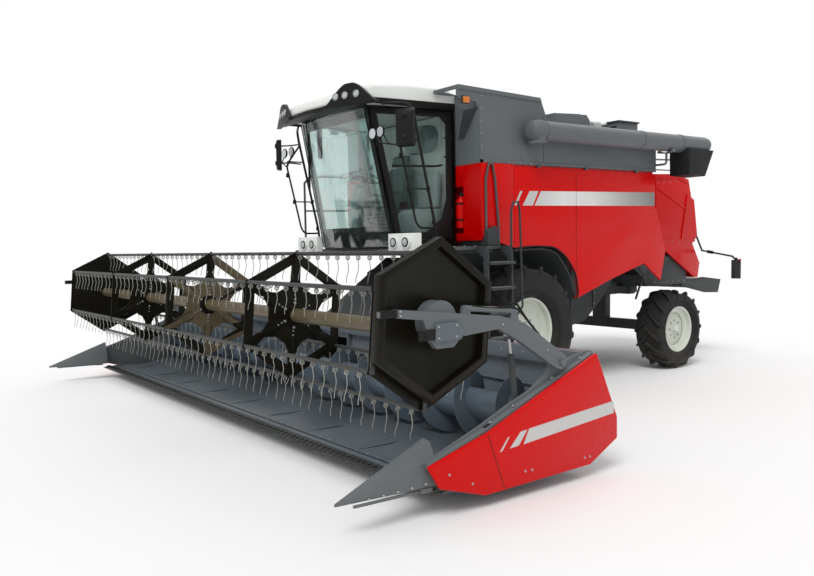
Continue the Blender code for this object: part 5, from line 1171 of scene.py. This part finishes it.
def tyre(name, centre, sign, outer, width, rim, lugs, body):
    """A tyre on its wheel's centre: the casing's profile turned, then two rows of lugs swept across it."""
    half, casing, bead = width / 2, outer - LUG_HIGH, rim + 0.012
    tread = [(half * 0.90 * t, casing - 0.020 * t * t) for t in [-1 + k / 6 for k in range(13)]]
    side = [(0.955, casing - 0.045), (0.99, casing - 0.10), (1.0, (bead + casing) / 2), (0.985, bead + 0.09),
            (0.93, bead + 0.055), (0.90, bead + 0.05), (0.88, bead + 0.030), (0.80, bead + 0.022),
            (0.74, bead + 0.002)]
    profile = [(half * 0.72, bead)] + [(half * x, r) for x, r in side[::-1]] + tread[::-1]
    profile += [(-half * x, r) for x, r in side] + [(-half * 0.72, bead)]
    shape = bmesh.new()
    turned(shape, centre, sign, profile, 96)
    for ring in range(3):
        r = bead + 0.075 + 0.018 * ring
        for out in (-1, 1):
            ridge = [(out * half * 0.975, r - 0.003), (out * (half * 0.995 + 0.003), r),
                     (out * half * 0.975, r + 0.003)]
            turned(shape, centre, sign, ridge, 96)
    pitch = 2 * math.pi / lugs
    for out in (-1, 1):
        for k in range(lugs):
            start = pitch * (k + (0.5 if out > 0 else 0.0))
            sections = []
            for j in range(9):
                t = j / 8
                x = half * (-0.05 + 1.05 * t)
                turn = start + (LUG_LEAN * half * t ** 0.85) / casing
                base = casing - 0.020 * t * t - 0.004
                top = casing + LUG_HIGH - 0.010 * t ** 3
                if j == 8:
                    base, top = casing - 0.125, casing - 0.055
                if j == 7:
                    top -= 0.004
                wide = (0.052 + 0.018 * t) * outer / 0.845
                low, high = wide / base / 2 * 1.15, wide / base / 2 * 0.80
                corners = ((turn - low, base), (turn - high, top), (turn + high, top), (turn + low, base))
                sections.append([about_axle(centre, sign * out * x, r, a) for a, r in corners])
            shell(shape, sections)
    return built(name, shape, rubber, body, (name,), roll=0.004, steps=1, corner=40, smooth=40)


rim_coat = coated("rim_coat", linear(206, 211, 200), 0.40, "rim_paint", coat=0.1, dust=0.16, dust_height=0.9)


def wheel(kind, side, sign, centre, outer, width, rim, lugs, bolt_count, bolt_r, hub_x):
    """A tyre on its dished steel disc, with a rolled rim edge, wheel bolts and a hub cap."""
    body = "%s_wheel_%s" % (kind, side)
    tyre("%s_tyre_%s" % (kind, side), centre, sign, outer, width, rim, lugs, body)
    half = width / 2
    shape = bmesh.new()
    turned(shape, centre, sign, [(-half * 0.72, rim - 0.012), (-half * 0.72, rim + 0.010),
           (half * 0.72, rim + 0.010), (half * 0.775, rim + 0.022), (half * 0.79, rim + 0.016),
           (half * 0.755, rim - 0.004), (half * 0.55, rim - 0.016), (half * 0.52, rim - 0.040),
           (hub_x + 0.075, rim - 0.055), (hub_x + 0.05, rim - 0.075),
           (hub_x + 0.035, (rim + bolt_r) / 2 + 0.03), (hub_x + 0.062, bolt_r + 0.062),
           (hub_x + 0.066, bolt_r + 0.05), (hub_x + 0.064, bolt_r - 0.045), (hub_x + 0.030, bolt_r - 0.055),
           (hub_x + 0.01, rim * 0.35), (hub_x, rim * 0.6), (hub_x + 0.02, rim - 0.09),
           (-half * 0.5, rim - 0.03)], 72)
    name = "%s_rim_%s" % (kind, side)
    built(name, shape, rim_coat, body, (name,), smooth=40)
    shape = bmesh.new()
    x = centre[0] + sign * hub_x
    spindle(shape, (x, centre[1], centre[2]), (x + sign * 0.13, centre[1], centre[2]),
            ((0, 0.06), (0.2, bolt_r * 0.66), (0.55, bolt_r * 0.66), (0.6, bolt_r * 0.5),
            (0.9, bolt_r * 0.45), (1, bolt_r * 0.3)), 32)
    built("%s_hub_%s" % (kind, side), shape, rim_coat, body, roll=0.003)
    x, y, z = centre[0] + sign * (hub_x + 0.064), centre[1], centre[2]
    ring = [(Vector((x, y + bolt_r * math.sin(a), z + bolt_r * math.cos(a))), (sign, 0, 0))
            for a in angles(bolt_count)]
    bolts("%s_wheel_bolts_%s" % (kind, side), ring, zinc, body, radius=0.014, height=0.022)


for side, sign in SIDES:
    wheel("front", side, sign, (sign * 1.17, 0, FRONT_TYRE_R), FRONT_TYRE_R, width=0.62, rim=0.405, lugs=17,
          bolt_count=10, bolt_r=0.16, hub_x=0.10)
    wheel("rear", side, sign, (sign * 1.20, REAR_Y, REAR_TYRE_R), REAR_TYRE_R, width=0.43, rim=0.325, lugs=15,
          bolt_count=8, bolt_r=0.13, hub_x=0.03)

# Feeder house and its lift cylinders
# The sloped conveyor housing that carries the header, in dark grey sheet with pressed ribs, and the two
# rams under it with their chromed rods. The reel's two lift rams are finished in the same way here.
rolled("feeder_house", dark_coat, "header", roll=0.005, steps=2)
steel = metal("bright_steel", linear(176, 178, 178), 0.24, 1.0)
for side, sign in SIDES:
    rolled("header_lift_barrel_" + side, dark_coat, "header_lift_barrels", roll=0.004)
    rolled("header_lift_rod_" + side, steel, "header_lift_rods", roll=0.002)
    rolled("reel_lift_barrel_" + side, dark_coat, "reel_lift_barrels", roll=0.002)
    rolled("reel_lift_rod_" + side, steel, "reel_lift_rods", roll=0.001)
shape = bmesh.new()
for k in range(4):
    t = 0.14 + 0.22 * k
    y, low, high = -2.05 + 1.25 * t, 0.30 + 0.83 * t, 0.88 + 0.82 * t
    for sign in (-1, 1):
        side_plate(shape, sign, [(y, low), (y + 0.03, low + 0.02), (y + 0.03, high + 0.01), (y, high - 0.01)],
                   0.515, 0.535)
built("feeder_ribs", shape, dark_coat, "header", roll=0.002)

# Header table
# The cutting table in grey sheet: floor, trough round the auger, back sheet with its ribs, stripper strips
# and the top and bottom beams.
table_coat = coated("table_grey", linear(92, 101, 108), 0.36, "grey_paint", coat=0.12, dust=0.10,
                    dust_height=1.2)
rolled("header_table", table_coat, "header", roll=0.004, steps=2)
TABLE_HALF = 3.878
shape = bmesh.new()
for k in range(13):
    x = -3.6 + 0.6 * k
    if abs(x) > 0.56:
        bar(shape, (x - 0.012, x + 0.012), (-2.152, -2.142), (0.56, 0.93))
bar(shape, (-TABLE_HALF + 0.01, -0.56), (-2.20, -2.165), (0.70, 0.712))
bar(shape, (0.56, TABLE_HALF - 0.01), (-2.20, -2.165), (0.70, 0.712))
bar(shape, (-TABLE_HALF + 0.01, TABLE_HALF - 0.01), (-3.61, -3.585), (0.176, 0.182))
for k in range(9):
    x = -3.4 + 0.85 * k
    bar(shape, (x - 0.002, x + 0.002), (-3.55, -2.75), (0.156, 0.168))
for x in (-3.0, -1.5, 1.5, 3.0):
    plate(shape, [(-3.62, 0.145), (-2.55, 0.075), (-2.40, 0.10), (-2.40, 0.13), (-3.0, 0.135)], "x", x - 0.16,
          x + 0.16)
for x0, x1 in ((-3.7, -2.2), (-2.2, -0.62), (0.62, 2.2), (2.2, 3.7)):
    tube(shape, [(x0, -2.085, 0.25), (x1, -2.085, 0.94)], 0.022, bend=0)
    bar(shape, (x0, x1), (-2.115, -2.075), (0.575, 0.615))
built("table_ribs", shape, table_coat, "header", roll=0.002)
seams = line((-3.8, -3.598, 0.182), (3.8, -3.598, 0.182), 52, (0, 0, 1))
seams += line((-3.8, -2.203, 0.99), (3.8, -2.203, 0.99), 30, (0, -1, 0))
bolts("table_bolts", seams, zinc, "header", radius=0.008, height=0.005)

# Knife and guards
# Forged double-finger guards every three inches' pitch along the bar with the toothed sickle between them,
# dark from use and bright on the cutting edges.
forged = metal("forged_steel", linear(92, 94, 94), 0.42, 0.85)
guard = bmesh.new()
KNIFE_Y, KNIFE_Z = -3.6811, 0.17
for x in (-0.0381, 0.0381):
    shell(guard, [[(x + w * math.cos(a), y, h + w * 0.8 * math.sin(a)) for a in angles(8)]
          for y, w, h in ((0.0, 0.015, 0.0), (-0.04, 0.015, 0.0), (-0.075, 0.013, -0.002),
          (-0.105, 0.008, -0.004), (-0.125, 0.002, -0.005))])
    plate(guard, [(-0.012, 0.004), (-0.075, 0.003), (-0.075, 0.013), (-0.03, 0.024), (-0.012, 0.020)], "x",
          x - 0.006, x + 0.006)
plate(guard, [(-0.060, 0.006), (0.060, 0.006), (0.060, 0.045), (-0.060, 0.045)], "z", -0.016, -0.004)
guard_form = in_scene("guard_form", as_mesh("guard_form", guard))


def row_tree():
    """A copy of one form on each place, turned a little at random, such as knife guards or reel tines."""
    made, inp, out = start_tree("form_row", "Row", Form=("Object", None), Sway=("Float", 0.0),
        Seed=("Float", 1.0))
    form = made.nodes.new("GeometryNodeObjectInfo")
    sway = node(made, "FunctionNodeRandomValue", data_type="FLOAT_VECTOR")
    least, most = made.nodes.new("ShaderNodeCombineXYZ"), made.nodes.new("ShaderNodeCombineXYZ")
    minus = node(made, "ShaderNodeMath", operation="MULTIPLY")
    minus.inputs[1].default_value = -1.0
    wire(made, inp.outputs["Sway"], minus.inputs[0])
    for axis in "XY":
        wire(made, minus.outputs[0], least.inputs[axis])
        wire(made, inp.outputs["Sway"], most.inputs[axis])
    wire(made, least.outputs[0], sway.inputs["Min"])
    wire(made, most.outputs[0], sway.inputs["Max"])
    wire(made, inp.outputs["Seed"], sway.inputs["Seed"])
    wire(made, inp.outputs["Form"], form.inputs["Object"])
    return end_tree(made, inp, out, form.outputs["Geometry"], sway.outputs["Value"])


FORM_ROW = row_tree()
GUARD_PITCH, GUARDS = 0.1524, 50
guards = [(GUARD_PITCH * (k - GUARDS / 2), KNIFE_Y - 0.048, KNIFE_Z - 0.010) for k in range(GUARDS + 1)]
grown("knife_guards", guards, FORM_ROW, forged, "header", Form=guard_form, Sway=0.0, Seed=1.0)
bpy.data.objects.remove(guard_form)
shape = bmesh.new()
bar(shape, (-TABLE_HALF + 0.001, TABLE_HALF - 0.001), (KNIFE_Y - 0.059, KNIFE_Y - 0.001),
    (KNIFE_Z - 0.022, KNIFE_Z - 0.006))
bar(shape, (-TABLE_HALF + 0.01, TABLE_HALF - 0.01), (KNIFE_Y - 0.062, KNIFE_Y - 0.040),
    (KNIFE_Z - 0.0055, KNIFE_Z + 0.0005))
tooth = GUARD_PITCH / 2
for k in range(int(2 * (TABLE_HALF - 0.04) / tooth)):
    x = -TABLE_HALF + 0.04 + tooth * k
    plate(shape, [(x + 0.004, KNIFE_Y - 0.055), (x + tooth - 0.004, KNIFE_Y - 0.055),
          (x + tooth * 0.62, KNIFE_Y - 0.128), (x + tooth * 0.38, KNIFE_Y - 0.128)], "z", KNIFE_Z - 0.005,
          KNIFE_Z - 0.002)
built("sickle", shape, forged, "header", ("knife_bar",))

# Header auger
# A rolled tube with two opposite flights that feed to the middle, worn bright at their edges, and a set of
# retracting fingers between them.
auger_coat = coated("auger_grey", linear(88, 100, 110), 0.34, "grey_paint", coat=0.12, dust=0.08,
                    dust_height=1.2)
AUGER = (-2.56, 0.52)


def flight(shape, x0, x1, pitch, inner, outer, thick):
    """A screw flight round the auger's axis, 28 steps a turn."""
    count = int(abs(x1 - x0) / abs(pitch) * 28)
    section = ((-thick / 2, inner), (-thick / 2, outer), (thick / 2, outer), (thick / 2, inner))
    rings = []
    for k in range(count + 1):
        x = x0 + (x1 - x0) * k / count
        a = 2 * math.pi * (x - x0) / pitch
        rings.append([(x + dx, AUGER[0] - r * math.sin(a), AUGER[1] + r * math.cos(a)) for dx, r in section])
    shell(shape, rings)


shape = bmesh.new()
spindle(shape, (-3.819, *AUGER), (3.819, *AUGER), ((0, 0.05), (0, 0.15), (0.438, 0.15), (0.4381, 0.158),
        (0.442, 0.158), (0.4421, 0.15), (0.558, 0.15), (0.5581, 0.158), (0.562, 0.158), (0.5621, 0.15),
        (1, 0.15), (1, 0.05)), 36)
spindle(shape, (-3.894, *AUGER), (3.894, *AUGER), ((0, 0.029), (1, 0.029)), 20)
for sign in (-1, 1):
    flight(shape, sign * 0.45, sign * 3.797, sign * 0.50, 0.145, 0.309, 0.006)
built("auger_screw", shape, auger_coat, "auger", ("header_auger",))
shape = bmesh.new()
for k in range(7):
    x, a = -0.36 + 0.12 * k, 2.1 * k
    root, tip, seat, cap = [(x, AUGER[0] + r * math.cos(a), AUGER[1] + r * math.sin(a))
                            for r in (0.12, 0.29, 0.145, 0.163)]
    rod(shape, root, tip, 0.0085, 10)
    spindle(shape, seat, cap, ((0, 0.03), (0.6, 0.03), (1, 0.015)), 14)
built("auger_fingers", shape, steel, "auger")

# End panels and dividers
# Each end has an inner sheet with a folded grey flange, a ribbed snout that parts the crop, and a red outer
# cover in two facets with its silver band. Bolts sit along the flange.
DIVIDER_X, COVER_X = 3.8997, 3.990
COVER_BOLTS = ((-2.988, 0.21), (-2.911, 0.207), (-2.273, 0.19), (-2.207, 0.19), (-3.55, 0.22), (-3.78, 0.33))
for side, sign in SIDES:
    rolled("divider_side_" + side, grey_coat, "header", roll=0.004, steps=2)
    rolled("header_end_cover_" + side, red_lacquer, "header", roll=0.015, steps=4)
    shape = bmesh.new()
    for band in ([(-2.940, 0.538), (-1.893, 0.616), (-1.888, 0.511), (-3.005, 0.424)],
                 [(-3.036, 0.528), (-2.961, 0.534), (-3.058, 0.423), (-3.158, 0.417)],
                 [(-3.177, 0.506), (-3.157, 0.509), (-3.237, 0.411), (-3.267, 0.406)]):
        side_plate(shape, sign, band, 3.9901, 3.9915)
    built("cover_band_" + side, shape, band_foil_painted_sheen, "header")
    shape = bmesh.new()
    side_plate(shape, sign, [(-3.388, 0.556), (-3.381, 0.556), (-3.212, 0.116), (-3.219, 0.116)], 3.9895,
               3.9908)
    tube(shape, [(sign * 3.925, -2.105, 1.052), (sign * 3.925, -1.98, 0.80)], 0.006, bend=0, sides=8)
    side_plate(shape, sign, [(-3.36, 0.585), (-3.10, 0.668), (-3.10, 0.680), (-3.36, 0.597)], 3.905, 3.935)
    built("cover_seam_" + side, shape, rubber_trim, "header")
    places = [(Vector((sign * COVER_X, y, z)), (sign, 0, 0)) for y, z in COVER_BOLTS]
    for y in (-3.30, -3.05, -2.60, -2.25):
        places.append((Vector((sign * (DIVIDER_X + 0.025), y, 0.60 + (y + 3.38) * 0.3667)), (0, -0.34, 0.94)))
    bolts("cover_bolts_" + side, places, zinc, "header", radius=0.011)
    shape = bmesh.new()
    x = sign * (DIVIDER_X - 0.105)
    for y, z in ((-3.93, 0.27), (-4.05, 0.262), (-4.17, 0.256), (-4.29, 0.250), (-4.41, 0.246)):
        skin = x + sign * 0.075 * (y + 4.70) / 0.87
        spindle(shape, (skin + sign * 0.04, y, z), (skin + sign * 0.055, y, z),
                ((0, 0.009), (0.6, 0.009), (1, 0.005)), 10)
    built("snout_rivets_" + side, shape, zinc, "header")
    shape = bmesh.new()
    tube(shape, [(sign * 3.87, -3.93, 0.212), (sign * 3.88, -4.55, 0.226)], 0.012, bend=0)
    side_bar(shape, sign, (3.83, 3.90), (-3.96, -3.86), (0.20, 0.232))
    built("snout_skid_" + side, shape, grey_coat, "header", roll=0.002)

# Reel arms
# Box-section arms in grey with the reel-shift ram on top, its black hoses, the bearing slide in front and
# the cast bearing housing of the reel shaft.
for side, sign in SIDES:
    rolled("reel_arm_" + side, grey_coat, "reel_arms", roll=0.005, steps=3)

    def out(x, y, z):
        """A place on this side of the machine."""
        return sign * x, y, z
    shape = bmesh.new()
    side_bar(shape, sign, (3.916, 3.974), (-4.355, -4.215), (1.494, 1.548))
    tube(shape, [out(3.955, -2.62, 1.10), out(3.965, -2.90, 1.36), out(3.962, -3.05, 1.50),
         out(3.958, -3.30, 1.495), out(3.955, -3.50, 1.53)], 0.009, bend=0.08)
    tube(shape, [out(3.935, -2.60, 1.10), out(3.930, -2.88, 1.37), out(3.932, -3.02, 1.53),
         out(3.932, -3.10, 1.51)], 0.009, bend=0.08)
    side_bar(shape, sign, (3.972, 3.985), (-4.04, -3.87), (1.315, 1.39))
    built("arm_hoses_" + side, shape, rubber_trim, "reel_arms", roll=0.002)
    shape = bmesh.new()
    side_plate(shape, sign, [(-3.89, 1.30), (-3.64, 1.30), (-3.62, 1.36), (-3.66, 1.43), (-3.88, 1.43)],
               3.968, 3.989)
    spindle(shape, out(3.968, -3.78, 1.349), out(3.9895, -3.78, 1.349), ((0, 0.05), (0.8, 0.05), (1, 0.035)),
            24)
    built("arm_housing_" + side, shape, table_coat, "reel_arms", roll=0.003)
    spots = [(3.9885, y, z) for y, z in ((-3.86, 1.325), (-3.86, 1.405), (-3.69, 1.325), (-3.69, 1.405))]
    spots += [(3.9705, y, z) for y, z in ((-4.19, 1.535), (-4.19, 1.505), (-3.20, 1.37), (-2.70, 1.13))]
    places = [(Vector((sign * x, y, z)), (sign, 0, 0)) for x, y, z in spots]
    bolts("arm_bolts_" + side, places, zinc, "reel_arms", radius=0.009)

# Reel
# A tube shaft carries the six-sided spiders and end plates of olive-black pressed sheet. Six tine bars run
# through their corners, and an offset plate at the left end keeps every bar upright as the reel turns.
olive_coat = coated("olive_black", linear(17, 15, 6), 0.36, "black_paint", coat=0.04, dust=0.02, gloss=0.16)
shaft_coat = coated("shaft_olive", linear(92, 82, 62), 0.34, "black_paint", coat=0.15, dust=0.12)
REEL_Y, REEL_Z, REEL_R, REEL_HALF, REEL_TURN = -3.78, 1.349, 0.579, 3.77, -5.2


def on_shaft(x, y, z):
    """Whether a place lies on the reel's tube shaft and not on a spider."""
    return math.hypot(y - REEL_Y, z - REEL_Z) < 0.075


rolled("reel_frame", (olive_coat, shaft_coat), "reel", roll=0.0015, steps=1, second=on_shaft)
spokes = [math.radians(90 + 60 * k + REEL_TURN) for k in range(6)]
corners = [(REEL_Y + REEL_R * math.cos(a), REEL_Z + REEL_R * math.sin(a)) for a in spokes]
hubs, silver = bmesh.new(), bmesh.new()
reel_bolts = []
for x in (-REEL_HALF / 2, 0, REEL_HALF / 2, REEL_HALF):
    for way in (-1, 1):
        spindle(hubs, (x, REEL_Y, REEL_Z), (x + way * 0.045, REEL_Y, REEL_Z),
                ((0, 0.11), (0.35, 0.11), (0.4, 0.082), (1, 0.078)), 24)
    hub = Vector((x, REEL_Y, REEL_Z))
    for a in spokes:
        u, v = Vector((0, math.cos(a), math.sin(a))), Vector((0, -math.sin(a), math.cos(a)))
        for spot in (0.15, 0.19):
            reel_bolts.append((Vector((x - 0.0045, REEL_Y, REEL_Z)) + u * spot, (-1, 0, 0)))
            reel_bolts.append((Vector((x + 0.0045, REEL_Y, REEL_Z)) + u * spot, (1, 0, 0)))
        for edge in (-1, 1):
            ends = [hub + u * spot + v * 0.043 * edge for spot in (0.23, 0.50)]
            section = ((-0.014, -0.0015), (0.014, -0.0015), (0.014, 0.0015), (-0.014, 0.0015))
            shell(hubs, [[p + Vector((dx, 0, 0)) + v * dv for dx, dv in section] for p in ends])
        stud, reach = hub + u * 0.115, Vector((0.02, 0, 0))
        rod(silver, stud - reach, stud + reach, 0.012)
built("spider_hubs", hubs, olive_coat, "reel")
built("spider_studs", silver, zinc, "reel")
bolts("spider_bolts", reel_bolts, zinc, "reel", radius=0.009)
rolled("reel_control_plate", olive_coat, "reel_control_plate", roll=0.004, steps=2)

# Tine bars
# Dark steel tubes, each with a row of spring-wire tines: a coil that wraps under the bar, a clip over it
# and a leg with a slight double bend, every leg a little different from its neighbour.
wire_steel = metal("spring_wire", linear(168, 168, 162), 0.34, 0.8)
bar_coat = coated("bar_grey", linear(58, 60, 60), 0.42, "black_paint", coat=0.1, dust=0.12)
form = bmesh.new()
COIL_Z, COIL_R, WIRE_R = -0.036, 0.019, 0.0032
path = [Vector((-0.012, 0.004, -0.012)), Vector((-0.011, 0.016, -0.020))]
for k in range(21):
    a = math.radians(20) - 2 * math.pi * 1.75 * k / 20
    path.append(Vector((-0.010 + 0.020 * k / 20, COIL_R * math.cos(a), COIL_Z + COIL_R * math.sin(a))))
path += [Vector((0.011, -0.008, -0.075)), Vector((0.011, -0.002, -0.120)), Vector((0.011, -0.010, -0.165)),
         Vector((0.011, -0.026, -0.205)), Vector((0.011, -0.030, -0.248))]
tube(form, path, WIRE_R, sides=6, bend=0)
bar(form, (-0.016, 0.006), (-0.006, 0.010), (-0.022, -0.006))
tine_form = in_scene("tine_form", as_mesh("tine_form", form))
TINE_PITCH = 0.155
tine_count = int(2 * (REEL_HALF - 0.06) / TINE_PITCH)
for k, (y, z) in enumerate(corners):
    name = "tine_bar_%d" % (k + 1)
    shape = bmesh.new()
    spindle(shape, (-3.79, y, z), (3.796, y, z), ((0, 0.012), (0, 0.0168), (1, 0.0168), (1, 0.012)), 16)
    plate(shape, [(y - 0.02, z - 0.014), (y + 0.02, z - 0.014), (y + 0.014, z + 0.098),
          (y - 0.014, z + 0.098)], "x", 3.788, 3.7995)
    rod(shape, (3.794, y, z + 0.087), (3.820, y, z + 0.087), 0.0098, 14)
    built(name + "_tube", shape, bar_coat, name, (name,), roll=0.0008, steps=1)
    places = []
    for j in range(tine_count + 1):
        x = TINE_PITCH * (j - tine_count / 2)
        if min(abs(x - s) for s in (-REEL_HALF / 2, 0, REEL_HALF / 2)) < 0.03:
            x += 0.045
        places.append((x, y, z))
    grown(name + "_tines", places, FORM_ROW, wire_steel, name, Form=tine_form, Sway=0.045, Seed=k + 1.0)
bpy.data.objects.remove(tine_form)
